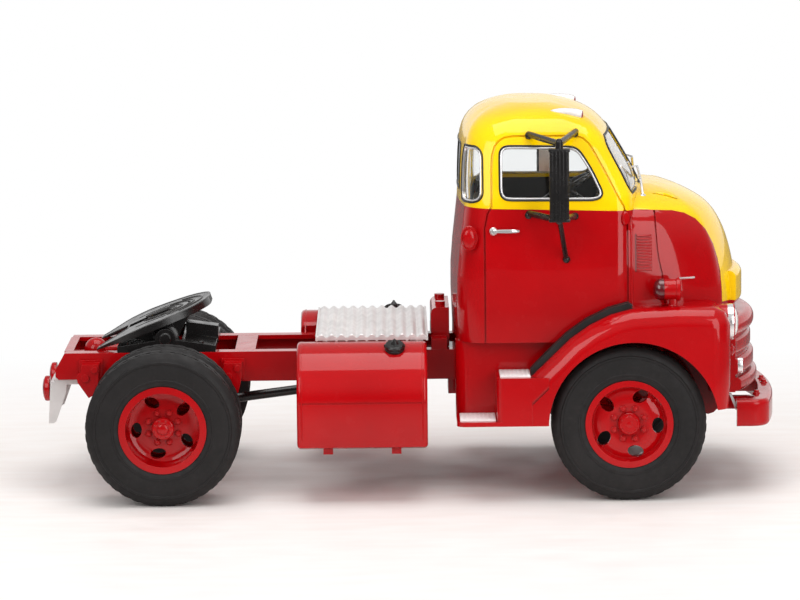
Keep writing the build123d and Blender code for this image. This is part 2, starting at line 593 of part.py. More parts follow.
# ---- cab interior ----
floor = bx(8.0, 36.0, -21.4, 21.4, SILL_Z, SILL_Z + 1.0) + bx(13.0, 36.0, -7.6, 7.6, SILL_Z, 32.4)
floor = floor - bx(13.8, 40.2, -6.7, 6.7, 20, 31.5)
keep("cab_floor", floor & inner)
seats = []
for side in (-1, 1):
    y0 = min(side * 8.2, side * 18.4)
    y1 = max(side * 8.2, side * 18.4)
    seats.append((bx(10.0, 19.0, y0, y1, SILL_Z + 1.0, 36.0) + bx(10.0, 12.2, y0, y1, 36.0, 46.6)) & inner)
keep("seats", *seats)
dash = prism_y([(33.6, 38.0), (31.0, 39.0), (31.0, 44.6), (32.4, 45.8), (35.0, 45.8), (35.0, 38.0)], -20.5, 20.5)
steering_column = bar((25.8, 11.0, 44.8), (31.2, 11.0, 40.6), 0.45)
keep("dashboard", (dash & inner) - steering_column)
wheel_plane = Plane(origin=(25.8, 11.0, 44.8), z_dir=(-0.5, 0, 0.86))
hoop = wheel_plane * Torus(4.6, 0.35)
spokes = wheel_plane * (Box(9.2, 0.6, 0.4) + Box(0.6, 9.2, 0.4) + Cylinder(0.9, 1.0))
keep("steering_wheel", hoop + spokes + steering_column)

# ---- fenders, steps ----
ARCH_X = 34.5
ARCH_Z = 11.7
ARCH_R = 13.15
FENDER_OUT = 27.4
FENDER_IN = 16.4
FENDER_FRONT = 49.5
FENDER_TOP = 30.0
FENDER_WALL = 1.0
LAMP_Y = 20.6
LAMP_Z = 27.0
LAMP_R = 2.8
# the rear slope of the fender from its foot up to the flat top, and the top of the rubber strip on it (X, Z)
FENDER_SLOPE = [(18.8, 19.4), (21.9, 22.4), (24.8, 25.2), (27.8, 27.3), (31.1, 28.9), (34.2, 29.7)]
STRIP_TOP = [(18.6, 20.4), (21.3, 23.1), (24.2, 25.9), (27.3, 28.1), (30.8, 29.8), (33.8, 30.6), (34.5, 30.2)]


def fender():
    outline = [(18.8, 12.0)] + FENDER_SLOPE + [
        (41.0, FENDER_TOP + 0.1), (46.9, FENDER_TOP), (48.7, 29.2), (FENDER_FRONT, 27.4),
        (FENDER_FRONT, 18.0), (49.2, 14.2), (46.0, 14.2), (46.0, 12.0),
    ]
    hollow_line = [
        (19.8, 10.0), (19.8, 18.9), (22.7, 21.6), (25.5, 24.4), (28.2, 26.4), (31.4, 28.0), (34.3, 28.7),
        (41.0, FENDER_TOP - 0.9), (46.2, FENDER_TOP - 1.0), (47.8, 28.4), (48.5, 26.9), (48.5, 18.0), (48.2, 10.0),
    ]
    body = prism_y(outline, -FENDER_OUT, -FENDER_IN)
    side = [e for e in body.edges() if abs(e.center().Y + FENDER_OUT) < 0.01 and e.center().Z > 14.5]
    body = fillet([e for e in side if e.center().X > 19.5], 3.0)
    inside_y = -FENDER_OUT + FENDER_WALL
    hollow = prism_y(hollow_line, inside_y, -FENDER_IN + 5)
    side = [e for e in hollow.edges() if abs(e.center().Y - inside_y) < 0.01 and e.center().Z > 14.5]
    hollow = fillet([e for e in side if e.center().X > 20.5], 2.0)
    arch = cyl_y(ARCH_X, ARCH_Z, ARCH_R, -FENDER_OUT - 1, -FENDER_IN + 1)
    body = body - hollow - arch - bx(18, 52, -30, 0, 5, 12.0) - outer
    body = body - cyl_x(-LAMP_Y, LAMP_Z, LAMP_R, 46.6, 52.0)
    return solids_of(body)[0]


fender_right = fender()
keep("fender_right", fender_right)
keep("fender_left", flip(fender_right))

strip_base = [(x, z - 0.45) for x, z in STRIP_TOP]
strip = prism_y(FENDER_SLOPE + strip_base[::-1], -24.3, -22.1)
for y in (-24.3, -22.9):
    strip = strip + prism_y(FENDER_SLOPE + STRIP_TOP[::-1], y, y + 0.8)
strip = solids_of(strip - fender_right - outer)[0]
keep("fender_strips", strip, flip(strip))

STEP_LOW = 12.7
STEP_HIGH = 19.5
SKIRT_PLAN = [
    (7.2, -15.0), (7.2, -17.0), (7.4, -18.0), (8.1, -18.7), (9.2, -19.0), (26.0, -19.0), (26.0, -17.9), (9.6, -17.9), (8.8, -17.6),
    (8.4, -17.0), (8.3, -15.0),
]
plate = bx(7.2, 18.8, -FENDER_OUT, -17.0, 12.0, STEP_LOW)
plate = fillet([e for e in plate.edges().filter_by(Axis.Z) if e.center().X < 8 and e.center().Y < -20], 1.3)
riser = bx(13.4, 21.4, -FENDER_OUT, -17.0, STEP_LOW, STEP_HIGH)
riser = fillet([e for e in riser.edges().filter_by(Axis.Z) if e.center().X < 14 and e.center().Y < -20], 1.0)
step_right = plate + riser + prism_z(SKIRT_PLAN, STEP_LOW, SILL_Z)
step_right = step_right - bx(15.2, 18.9, 0.9 - FENDER_OUT, -16.0, 11.0, STEP_HIGH - 0.9)
step_right = solids_of(step_right - fender_right)[0]
keep("step_right", step_right)
keep("step_left", flip(step_right))
treads = []
for side in (-1, 1):
    y0 = min(side * 19.4, side * 26.2)
    y1 = max(side * 19.4, side * 26.2)
    treads.append(bx(7.7, 13.2, y0, y1, STEP_LOW, STEP_LOW + 0.25))
    treads.append(bx(13.9, 18.6, y0, y1, STEP_HIGH, STEP_HIGH + 0.25))
keep("step_treads", *treads)

# ---- front end ----
GRILLE_TABLE = [
    # z0, z1, nose x at the centre, thickness, front rounding
    (24.2, 27.05, 55.0, 3.4, 1.3),
    (21.2, 23.9, 54.5, 2.6, 0.7),
    (18.1, 20.8, 54.95, 3.0, 0.7),
    (15.6, 17.7, 55.5, 3.6, 0.7),
]
GRILLE_DROP = 3.7
GRILLE_OUT = 17.2
grille = front_band(54.1, GRILLE_DROP, GRILLE_OUT - 0.1, 2.3, 15.4, 26.4)
for z0, z1, nose_x, thick, round_r in GRILLE_TABLE:
    grille = grille + front_band(nose_x, GRILLE_DROP, GRILLE_OUT, thick, z0, z1, round_r)
for side in (-1, 1):
    y0 = min(side * (GRILLE_OUT - 1.8), side * GRILLE_OUT)
    y1 = max(side * (GRILLE_OUT - 1.8), side * GRILLE_OUT)
    grille = grille + bx(48.4, 50.9, y0, y1, 15.4, 24.0)
grille = solids_of(grille - outer - nose_pad - fender_right - flip(fender_right))[0]
keep("grille", grille)

BUMPER_LOW = 10.4
BUMPER_HIGH = 14.6
BUMPER_OUT = 20.2
BUMPER_WALL = 1.1


def bumper_face(inset):
    """The plan of the bumper's outside, moved inward; it bows across the front and turns back at both ends."""
    y_end = BUMPER_OUT - inset
    back = 55.7 - inset
    plan = make_face([
        Polyline((back, y_end), (50.9, y_end), (50.9, -y_end), (back, -y_end)),
        ThreePointArc((back, -y_end), (57.8 - inset, 0), (back, y_end)),
    ])
    return fillet([v for v in plan.vertices() if v.X > 52], 2.8 - inset)


bumper = Pos(0, 0, BUMPER_LOW) * extrude(bumper_face(0), BUMPER_HIGH - BUMPER_LOW)
rims = [e for e in bumper.edges() if e.center().X > 51.5 and abs(e.center().Z - BUMPER_HIGH) < 0.01]
rims = rims + [e for e in bumper.edges() if e.center().X > 51.5 and abs(e.center().Z - BUMPER_LOW) < 0.01]
bumper = fillet(rims, 0.7)
bumper = bumper - Pos(0, 0, BUMPER_LOW - BUMPER_WALL) * extrude(bumper_face(BUMPER_WALL), BUMPER_HIGH - BUMPER_LOW)
bumper = bumper - Pos(0, 0, BUMPER_LOW) * extrude(bumper_face(2.2), 10)
for side in (-1, 1):
    y0 = min(side * 8.3, side * 9.7)
    y1 = max(side * 8.3, side * 9.7)
    bumper = bumper + bx(44.6, 46.6, y0, y1, 11.6, RAIL_BOTTOM) + bx(44.6, 57.0, y0, y1, 11.6, 13.6)
keep("front_bumper", bumper)

rims = []
lenses = []
for side in (-1, 1):
    y = side * LAMP_Y
    rim = cyl_x(y, LAMP_Z, LAMP_R, 47.0, 50.4) - cyl_x(y, LAMP_Z, LAMP_R - 0.4, 49.4, 52.0)
    rims.append(rim - outer - grille)
    glass_r = LAMP_R - 0.4
    face = make_face([
        Polyline((50.3, glass_r, 0), (49.4, glass_r, 0), (49.4, 0, 0), (51.0, 0, 0)),
        ThreePointArc((51.0, 0, 0), (50.83, glass_r * 0.5, 0), (50.3, glass_r, 0)),
    ])
    lenses.append(Pos(0, y, LAMP_Z) * revolve(face, Axis.X))
keep("headlamp_rims", *[solids_of(rim)[0] for rim in rims])
keep("headlamp_lenses", *[solids_of(lens)[0] for lens in lenses])

# ---- lamps, mirrors and small fittings ----
MARKER_Y = 23.4
MARKER_Z = 32.3
ROOF_LAMP_Y = 13.4
drum = Pos(0, 0, MARKER_Z) * revolve(make_face(Polyline(
    (37.7, 0, 0), (37.8, 1.2, 0), (38.4, 1.75, 0), (39.6, 1.75, 0), (39.6, 1.55, 0), (41.3, 1.55, 0), (41.3, 1.75, 0),
    (41.6, 1.75, 0), (41.8, 1.2, 0), (41.9, 0, 0), close=True)), Axis.X)
drum = Pos(0, -MARKER_Y, 0) * drum + bx(39.5, 41.1, -MARKER_Y - 0.7, -MARKER_Y + 0.7, 29.4, 31.2)
drum = solids_of(drum + bx(38.9, 41.6, -MARKER_Y - 1.0, -MARKER_Y + 1.0, 29.4, 30.4) - fender_right)[0]
keep("marker_lamps", drum, flip(drum))

tear = revolve(make_face(Polyline(
    (-2.4, 0, 0), (-1.4, 0.5, 0), (0, 0.85, 0), (1.6, 1.0, 0), (2.3, 0.9, 0), (2.3, 0, 0), close=True)), Axis.X)
tear = solids_of(Pos(25.0, -ROOF_LAMP_Y, 59.0) * Rot(0, 11, 0) * tear - outer)[0]
keep("roof_lamps", tear, flip(tear))

turn = fillet(cyl_x(-18.6, 22.3, 0.7, 48.8, 50.6).edges().filter_by(lambda e: e.center().X > 50.5), 0.3)
turn = solids_of(turn - fender_right)[0]
park = Pos(51.0, -16.4, 19.5) * Rot(0, 90, 0) * extrude(SlotOverall(2.1, 1.0), 1.2)
park = solids_of(park - grille)[0]
keep("front_lamps", turn, flip(turn), park, flip(park))


def mirror_right():
    body = bx(21.6, 24.6, -29.2, -27.6, 43.9, 54.9)
    body = fillet(body.edges().filter_by(Axis.Z), 0.5)
    body = body + bar((23.1, -28.4, 54.6), (23.1, -28.4, 56.1), 0.6)
    body = body + bar((18.8, -18.0, 56.3), (23.1, -28.4, 55.8), 0.5) + bar((26.1, -17.6, 56.6), (23.1, -28.4, 55.8), 0.5)
    body = body + bar((18.6, -20.8, 44.3), (23.1, -28.4, 44.0), 0.5) + bar((25.8, -20.8, 43.8), (23.1, -28.4, 44.0), 0.5)
    body = body + bar((23.1, -28.4, 44.2), (24.4, -21.6, 37.0), 0.4)
    return solids_of(body - outer)[0]


mirror_r = mirror_right()
keep("mirror_right", mirror_r)
keep("mirror_left", flip(mirror_r))
handles = []
for side in (-1, 1):
    handles.append(bx(12.7, 17.2, min(side * 21.2, side * 22.4), max(side * 21.2, side * 22.4), 41.2, 42.0) - outer)
keep("door_handles", *handles)

for name, shapes in nodes.items():
    out = shapes[0] if len(shapes) == 1 else Compound(children=shapes)
    export_step(out, "parts/" + name + ".step")
    print(name, len(shapes), [round(s.volume, 1) for s in shapes][:6])
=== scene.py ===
import json
import math

import bmesh
import bpy
from mathutils import Matrix, Vector
from mathutils.bvhtree import BVHTree


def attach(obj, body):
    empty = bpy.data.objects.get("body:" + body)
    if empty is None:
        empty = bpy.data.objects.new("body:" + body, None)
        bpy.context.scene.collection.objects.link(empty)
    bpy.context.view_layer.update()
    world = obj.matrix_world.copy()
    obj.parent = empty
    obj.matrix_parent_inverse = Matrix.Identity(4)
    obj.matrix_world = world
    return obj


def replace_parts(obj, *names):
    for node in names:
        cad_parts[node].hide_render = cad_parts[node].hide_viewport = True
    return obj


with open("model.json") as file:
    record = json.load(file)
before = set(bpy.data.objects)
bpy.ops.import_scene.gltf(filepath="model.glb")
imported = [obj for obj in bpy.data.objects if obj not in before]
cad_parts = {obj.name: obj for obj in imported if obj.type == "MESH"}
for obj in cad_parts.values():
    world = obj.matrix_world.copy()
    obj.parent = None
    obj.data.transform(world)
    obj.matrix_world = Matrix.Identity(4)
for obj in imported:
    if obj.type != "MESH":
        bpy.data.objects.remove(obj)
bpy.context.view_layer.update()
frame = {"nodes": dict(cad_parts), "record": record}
NODES = frame["nodes"]
MM = 0.001
CHASSIS = "chassis"

# The same sizes as the CAD source, in millimetres.
WHEEL_Z = 12.0
REAR_X = -38.2
FRONT_X = 33.8
TYRE_R = 12.0
FRONT_TYRE_W = 6.4
REAR_TYRE_W = 5.8
TWIN_PITCH = 6.6
FRONT_MID = 26.8 - FRONT_TYRE_W / 2
REAR_MID = 28.0 - REAR_TYRE_W / 2
PIVOT_X = -38.4
PIVOT_Z = 23.8
PLATE_TILT = math.radians(20.5)
PLATE_TOP = 3.0
LAMP_Y = 20.6
LAMP_Z = 27.0
BUMPER_BOLTS = ((54.5, -13.2), (56.6, -2.2))
MARKER_X, MARKER_Y, MARKER_Z = 39.35, 23.4, 32.55
MIRROR_X, MIRROR_Y = 23.1, -28.4
TANK_MID_Y, TANK_SEAM_Z = -18.6, 15.8
TAIL_X, TAIL_LAMP_Y, TAIL_LAMP_Z = -57.0, 7.3, 15.7
STEERING_HUB = (25.8, 11.0, 44.8)
SPRING_X = REAR_X - 0.9
BUMPER_TOP = 14.6


# ---- materials ----
class Shader:
    """A node material under construction."""

    def __init__(self, name):
        self.mat = bpy.data.materials.new(name)
        self.mat.use_nodes = True
        self.tree = self.mat.node_tree
        self.bsdf = self.tree.nodes["Principled BSDF"]
        self.coords = self.node("ShaderNodeTexCoord").outputs["Object"]

    def node(self, kind, **inputs):
        made = self.tree.nodes.new(kind)
        for key, value in inputs.items():
            made.inputs[key.replace("_", " ")].default_value = value
        return made

    def link(self, source, target):
        self.tree.links.new(source, target)

    def noise(self, size_mm, detail=3.0, stretch=(1, 1, 1)):
        """Noise whose features are about size_mm across, optionally stretched along an axis."""
        mapping = self.node("ShaderNodeMapping")
        mapping.inputs["Scale"].default_value = stretch
        self.link(self.coords, mapping.inputs["Vector"])
        tex = self.node("ShaderNodeTexNoise", Scale=1.0 / (size_mm * MM), Detail=detail)
        self.link(mapping.outputs["Vector"], tex.inputs["Vector"])
        return tex.outputs["Fac"]

    def ramp(self, source, low, high, out_low, out_high):
        node = self.node("ShaderNodeMapRange")
        for index, value in enumerate((low, high, out_low, out_high)):
            node.inputs[index + 1].default_value = value
        self.link(source, node.inputs["Value"])
        return node.outputs["Result"]

    def mix(self, factor, first, second):
        node = self.node("ShaderNodeMix")
        node.data_type = "RGBA"
        self.link(factor, node.inputs["Factor"])
        for socket, value in ((node.inputs["A"], first), (node.inputs["B"], second)):
            if hasattr(value, "links"):
                self.link(value, socket)
            else:
                socket.default_value = (*value, 1.0)
        return node.outputs["Result"]

    def edges(self, radius_mm):
        """0 on flat faces and up to 1 along worn edges."""
        bevel = self.tree.nodes.new("ShaderNodeBevel")
        bevel.samples = 4
        bevel.inputs["Radius"].default_value = radius_mm * MM
        geometry = self.tree.nodes.new("ShaderNodeNewGeometry")
        dot = self.tree.nodes.new("ShaderNodeVectorMath")
        dot.operation = "DOT_PRODUCT"
        self.link(bevel.outputs["Normal"], dot.inputs[0])
        self.link(geometry.outputs["Normal"], dot.inputs[1])
        return self.ramp(dot.outputs["Value"], 0.97, 0.75, 0.0, 1.0), bevel.outputs["Normal"]

    def finish(self, colour=None, roughness=None, bumps=(), normal=None, **constants):
        for key, value in constants.items():
            self.bsdf.inputs[key.replace("_", " ")].default_value = value
        if colour is not None:
            self.link(colour, self.bsdf.inputs["Base Color"])
        if roughness is not None:
            self.link(roughness, self.bsdf.inputs["Roughness"])
        for height, depth_mm, strength in bumps:
            bump = self.node("ShaderNodeBump", Strength=strength, Distance=depth_mm * MM)
            self.link(height, bump.inputs["Height"])
            if normal is not None:
                self.link(normal, bump.inputs["Normal"])
            normal = bump.outputs["Normal"]
        if normal is not None:
            self.link(normal, self.bsdf.inputs["Normal"])
        return self.mat


def shade(colour, factor):
    return tuple(min(1.0, c * factor) for c in colour)


def paint(name, colour, worn, rough=(0.16, 0.3)):
    """Sprayed gloss enamel: cloudy tone, orange peel and thin paint along the edges."""
    s = Shader(name)
    cloud = s.ramp(s.noise(16.0, 4.0), 0.3, 0.7, 0.0, 1.0)
    base = s.mix(cloud, shade(colour, 0.86), shade(colour, 1.08))
    speck = s.ramp(s.noise(0.35, 2.0), 0.66, 0.78, 0.0, 0.35)
    base = s.mix(speck, base, shade(colour, 0.6))
    edge, soft = s.edges(0.16)
    base = s.mix(s.ramp(edge, 0.0, 1.0, 0.0, 0.55), base, worn)
    gloss = s.ramp(s.noise(3.0, 3.0), 0.3, 0.7, *rough)
    return s.finish(base, gloss, [(s.noise(0.9, 2.0), 0.03, 0.2), (s.noise(0.2, 1.0), 0.004, 0.15)], soft,
                    Coat_Weight=0.6, Coat_Roughness=0.03, Specular_IOR_Level=0.05)


def plastic(name, colour, rough, peel=0.02):
    """Moulded plastic: faint mottling, fine grain and paler rubbed edges."""
    s = Shader(name)
    cloud = s.ramp(s.noise(5.0, 4.0), 0.3, 0.7, 0.0, 1.0)
    base = s.mix(cloud, shade(colour, 0.8), shade(colour, 1.25))
    edge, soft = s.edges(0.12)
    base = s.mix(s.ramp(edge, 0.0, 1.0, 0.0, 0.6), base, shade(colour, 1.9))
    gloss = s.ramp(s.noise(1.6, 4.0), 0.3, 0.7, *rough)
    return s.finish(base, gloss, [(s.noise(0.25, 2.0), peel, 0.3)], soft)


def metal(name, colour, rough, brushed=(1, 1, 1), grain_mm=0.6, metallic=1.0, dirt=0.25):
    """Plated or silver-painted metal with fine grain, darker in random patches."""
    s = Shader(name)
    grain = s.noise(grain_mm, 4.0, brushed)
    base = s.mix(s.ramp(s.noise(4.0, 5.0), 0.35, 0.75, 0.0, dirt), colour, shade(colour, 0.45))
    gloss = s.ramp(grain, 0.3, 0.7, *rough)
    return s.finish(base, gloss, [(grain, 0.01, 0.2)], Metallic=metallic)


def tyre_rubber():
    s = Shader("tyre_rubber")
    cloud = s.ramp(s.noise(6.0, 5.0), 0.3, 0.75, 0.0, 1.0)
    base = s.mix(cloud, (0.007, 0.006, 0.006), (0.013, 0.011, 0.011))
    dust = s.ramp(s.noise(0.5, 6.0), 0.56, 0.8, 0.0, 0.3)
    base = s.mix(dust, base, (0.032, 0.028, 0.027))
    gloss = s.ramp(s.noise(1.2, 4.0), 0.3, 0.7, 0.5, 0.72)
    return s.finish(base, gloss, [(s.noise(0.3, 3.0), 0.02, 0.35)], Specular_IOR_Level=0.3)


def clear(name, tint, bend=1.25, through=1.0):
    """Clear moulding, slightly wavy."""
    s = Shader(name)
    gloss = s.ramp(s.noise(7.0, 3.0), 0.4, 0.8, 0.01, 0.07)
    base = s.mix(s.ramp(s.noise(9.0, 3.0), 0.3, 0.7, 0.0, 1.0), tint, shade(tint, 0.96))
    return s.finish(base, gloss, [(s.noise(6.0, 1.0), 0.02, 0.2)], Transmission_Weight=through, IOR=bend)


def lamp_glass(name, colour, lines):
    """Tinted lamp lens with moulded lines."""
    s = Shader(name)
    wave = s.node("ShaderNodeTexWave", Scale=1.0 / (lines * MM) / 6.28)
    wave.bands_direction = "Y"
    s.link(s.coords, wave.inputs["Vector"])
    base = s.mix(wave.outputs["Fac"], shade(colour, 0.75), shade(colour, 1.2))
    gloss = s.ramp(s.noise(1.0, 2.0), 0.3, 0.7, 0.05, 0.14)
    return s.finish(base, gloss, [(wave.outputs["Fac"], 0.06, 0.5)], Coat_Weight=0.8, Coat_Roughness=0.03)


RED = (0.40, 0.001, 0.003)
YELLOW = (0.96, 0.60, 0.0)
MAT = {
    "red_paint": paint("red_enamel", RED, (0.58, 0.04, 0.04)),
    "yellow_paint": paint("yellow_enamel", YELLOW, (0.97, 0.74, 0.06)),
    "tyre": tyre_rubber(),
    "black_plastic": plastic("black_moulding", (0.009, 0.008, 0.008), (0.18, 0.32)),
    "black_rubber": plastic("black_rubber", (0.007, 0.007, 0.007), (0.35, 0.5), 0.03),
    "chrome": metal("chrome_plate", (0.86, 0.85, 0.85), (0.08, 0.2), metallic=0.7),
    "silver_paint": metal("silver_paint", (0.80, 0.77, 0.76), (0.3, 0.45), (1, 0.2, 1), 0.5, 0.4, 0.35),
    "step_silver": metal("step_silver", (0.92, 0.90, 0.90), (0.3, 0.45), (1, 0.2, 1), 0.5, 0.1, 0.1),
    # a paler black for the coupling plate's rim and rings: a painted highlight on their beads
    "painted_highlight_black": plastic("painted_highlight_black", (0.03, 0.028, 0.027), (0.2, 0.34)),
    "clear": clear("clear_moulding", (0.96, 0.97, 0.97)),
    "screen": clear("screen_moulding", (0.97, 0.95, 0.93), 1.4, 0.92),
    "lamp_red": lamp_glass("red_lens", (0.30, 0.002, 0.012), 0.35),
    # a darker copy of the red lens for the marker lamps' rear lens: partly its own dark red, partly painted
    # shade
    "lamp_dark_shaded": lamp_glass("dark_red_shaded_lens", (0.09, 0.002, 0.005), 0.35),
    "lens_white": lamp_glass("white_lens", (0.80, 0.80, 0.78), 0.4),
    "shade_red": paint("shaded_enamel", (0.16, 0.001, 0.002), (0.28, 0.01, 0.01)),
    "seat": plastic("seat_moulding", (0.016, 0.015, 0.015), (0.45, 0.6), 0.05),
}

for subpart in frame["record"]["subparts"]:
    target = NODES[subpart["node"]]
    for held in target.material_slots:
        held.material = MAT[subpart["material_slot"]]
for node, look in (("windscreen", "screen"), ("headlamp_rims", "red_paint")):
    for held in NODES[node].material_slots:
        held.material = MAT[look]


# ---- smooth shading on the CAD nodes ----
def smoothing_group(angle_deg):
    """Geometry nodes: join the split corners and shade smooth below an angle."""
    group = bpy.data.node_groups.new("smooth_by_angle", "GeometryNodeTree")
    group.interface.new_socket("Geometry", in_out="INPUT", socket_type="NodeSocketGeometry")
    group.interface.new_socket("Geometry", in_out="OUTPUT", socket_type="NodeSocketGeometry")
    new = group.nodes.new
    start, end = new("NodeGroupInput"), new("NodeGroupOutput")
    drop = new("GeometryNodeRemoveAttribute")
    drop.inputs["Name"].default_value = "custom_normal"
    merge = new("GeometryNodeMergeByDistance")
    merge.inputs["Distance"].default_value = 0.004 * MM
    faces = new("GeometryNodeSetShadeSmooth")
    faces.domain = "FACE"
    edges = new("GeometryNodeSetShadeSmooth")
    edges.domain = "EDGE"
    angle = new("GeometryNodeInputMeshEdgeAngle")
    below = new("FunctionNodeCompare")
    below.operation = "LESS_THAN"
    below.inputs["B"].default_value = math.radians(angle_deg)
    group.links.new(angle.outputs["Unsigned Angle"], below.inputs["A"])
    chain = (start, drop, merge, faces, edges)
    for source, node in zip(chain, chain[1:]):
        group.links.new(source.outputs[0], node.inputs["Geometry"])
    group.links.new(below.outputs["Result"], edges.inputs["Shade Smooth"])
    group.links.new(edges.outputs[0], end.inputs[0])
    return group


SMOOTH = smoothing_group(34.0)
for node in NODES.values():
    node.modifiers.new("smooth", "NODES").node_group = SMOOTH


# ---- mesh tools, in millimetres ----
def finish_piece(name, verts, faces, material, body=CHASSIS, angle=34.0):
    """A mesh piece in the row frame, shaded smooth below an angle and riding on a body."""
    mesh = bpy.data.meshes.new(name)
    mesh.from_pydata([tuple(c * MM for c in v) for v in verts], [], faces)
    work = bmesh.new()
    work.from_mesh(mesh)
    bmesh.ops.remove_doubles(work, verts=work.verts, dist=1e-7)
    bmesh.ops.recalc_face_normals(work, faces=work.faces)
    work.to_mesh(mesh)
    work.free()
    mesh.polygons.foreach_set("use_smooth", [True] * len(mesh.polygons))
    mesh.set_sharp_from_angle(angle=math.radians(angle))
    mesh.materials.append(MAT[material])
    piece = bpy.data.objects.new(name, mesh)
    bpy.context.scene.collection.objects.link(piece)
    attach(piece, body)
    return piece


class Build:
    """Collects simple solids for one piece."""

    def __init__(self):
        self.verts, self.faces = [], []

    def add(self, verts, faces):
        start = len(self.verts)
        self.verts.extend(Vector(v) for v in verts)
        self.faces.extend(tuple(i + start for i in f) for f in faces)

    def rings(self, rings, closed=False):
        """A skin over rings of equal length."""
        n = len(rings[0])
        verts = [v for ring in rings for v in ring]
        faces = []
        last = len(rings) if closed else len(rings) - 1
        for i in range(last):
            j = (i + 1) % len(rings)
            for k in range(n):
                m = (k + 1) % n
                faces.append((i * n + k, i * n + m, j * n + m, j * n + k))
        if not closed:
            faces.append(tuple(range(n)))
            faces.append(tuple((len(rings) - 1) * n + k for k in range(n)))
        self.add(verts, faces)

    def lathe(self, profile, origin, axis, steps=32):
        """A turned solid: profile is (radius, distance along the axis); its ends close on the axis."""
        axis = Vector(axis).normalized()
        side = axis.orthogonal().normalized()
        up = axis.cross(side)
        origin = Vector(origin)
        rings = []
        for radius, along in profile:
            ring = []
            for k in range(steps):
                a = 2 * math.pi * k / steps
                spoke = side * math.cos(a) + up * math.sin(a)
                ring.append(origin + axis * along + spoke * max(radius, 1e-3))
            rings.append(ring)
        self.rings(rings)

    def sweep(self, path, section, ups, closed=False):
        """A section of (across, out) points carried along a path; ups gives the outward directions."""
        rings = []
        n = len(path)
        for i, p in enumerate(path):
            before = path[i - 1] if (closed or i > 0) else p
            after = path[(i + 1) % n] if (closed or i < n - 1) else p
            along = (after - before).normalized()
            up = ups[i] if isinstance(ups, list) else Vector(ups)
            across = along.cross(up).normalized()
            out = across.cross(along).normalized()
            rings.append([p + across * a + out * b for a, b in section])
        self.rings(rings, closed)

    def rod(self, points, radius, steps=10):
        """A round rod through points."""
        path = [Vector(p) for p in points]
        turns = [2 * math.pi * k / steps for k in range(steps)]
        circle = [(radius * math.cos(a), radius * math.sin(a)) for a in turns]
        direction = (path[-1] - path[0]).normalized()
        self.sweep(path, circle, direction.orthogonal())

    def block(self, low, high, bevel=0.1):
        """A box with chamfered edges."""
        box = bmesh.new()
        bmesh.ops.create_cube(box, size=1.0)
        size = [h - l for l, h in zip(low, high)]
        middle = [(h + l) / 2 for l, h in zip(low, high)]
        for v in box.verts:
            v.co = Vector(c * s + m for c, s, m in zip(v.co, size, middle))
        bmesh.ops.bevel(box, geom=list(box.edges), offset=bevel, segments=2, profile=0.6, affect="EDGES")
        box.verts.index_update()
        self.add([v.co.copy() for v in box.verts], [tuple(v.index for v in f.verts) for f in box.faces])
        box.free()

    def moved(self, matrix):
        self.verts = [matrix @ v for v in self.verts]
        return self

    def piece(self, name, material, body=CHASSIS, slot=None, angle=34.0):
        return finish_piece(name, self.verts, self.faces, material, body, angle)


def flipped(build):
    """A copy on the other side of the centre plane."""
    other = Build()
    other.add([Vector((v.x, -v.y, v.z)) for v in build.verts], [tuple(reversed(f)) for f in build.faces])
    return other


def dome(radius, height, steps=5):
    """A profile from the edge of a dome to its crown."""
    points = []
    for k in range(steps + 1):
        a = math.pi / 2 * k / steps
        points.append((radius * math.cos(a), height * math.sin(a)))
    return points


def smooth_loop(points, reach=0.5, passes=3, longest=1.2):
    """A closed outline with its corners rounded over a reach, and its long runs divided."""
    for turn in range(passes):
        cut = []
        for a, b in zip(points, points[1:] + points[:1]):
            length = math.dist(a, b)
            t = min(0.25, reach / 2 ** turn / length)
            cut.append(tuple(p * (1 - t) + q * t for p, q in zip(a, b)))
            cut.append(tuple(p * t + q * (1 - t) for p, q in zip(a, b)))
        points = cut
    fine = []
    for a, b in zip(points, points[1:] + points[:1]):
        count = max(1, math.ceil(math.dist(a, b) / longest))
        for k in range(count):
            fine.append(tuple(p + (q - p) * k / count for p, q in zip(a, b)))
    return fine


def offset_loop(points, distance):
    """A closed outline moved outward by a distance."""
    area = sum(a[0] * b[1] - b[0] * a[1] for a, b in zip(points, points[1:] + points[:1]))
    sign = 1 if area > 0 else -1
    moved = []
    for before, here, after in zip(points[-1:] + points[:-1], points, points[1:] + points[:1]):
        along = Vector((after[0] - before[0], after[1] - before[1])).normalized()
        moved.append((here[0] + sign * along.y * distance, here[1] - sign * along.x * distance))
    return moved


def tree_of(names):
    """A search tree over CAD nodes, in millimetres."""
    verts, polygons = [], []
    for name in names:
        mesh = NODES[name].data
        start = len(verts)
        verts.extend(v.co / MM for v in mesh.vertices)
        polygons.extend([i + start for i in p.vertices] for p in mesh.polygons)
    return BVHTree.FromPolygons(verts, polygons)


CAB = tree_of(("cab_upper", "cab_lower"))


def on_skin(origin, direction):
    """(point, outward normal) where a ray first meets the skin of the cab."""
    point, normal = CAB.ray_cast(Vector(origin), Vector(direction).normalized())[:2]
    if point is None:
        return None, None
    if normal.dot(Vector(direction)) > 0:
        normal = -normal
    return point, normal


def hug(points, place, direction, lift=0.0, probe=0.4):
    """Carries a flat closed outline onto the skin, read just outside it, so an opening doesn't matter."""
    direction = Vector(direction).normalized()
    path, ups = [], []
    for p, q in zip(points, offset_loop(points, probe)):
        hit, normal = on_skin(place(*q), direction)
        start = Vector(place(*p))
        reach = (hit - start).dot(normal) / direction.dot(normal)
        path.append(start + direction * reach + normal * lift)
        ups.append(normal)
    return path, ups


def bead(width, height, sink=0.12, steps=6):
    """A half-round section."""
    points = [(-width / 2, -sink)]
    for k in range(steps + 1):
        a = math.pi * (1 - k / steps)
        points.append((width / 2 * math.cos(a), height * math.sin(a)))
    points.append((width / 2, -sink))
    return points


def right_side(x, z):
    """Where a ray starts toward the cab's right side."""
    return (x, -60.0, z)


def front_side(y, z):
    """Where a ray starts toward the cab's front."""
    return (90.0, y, z)


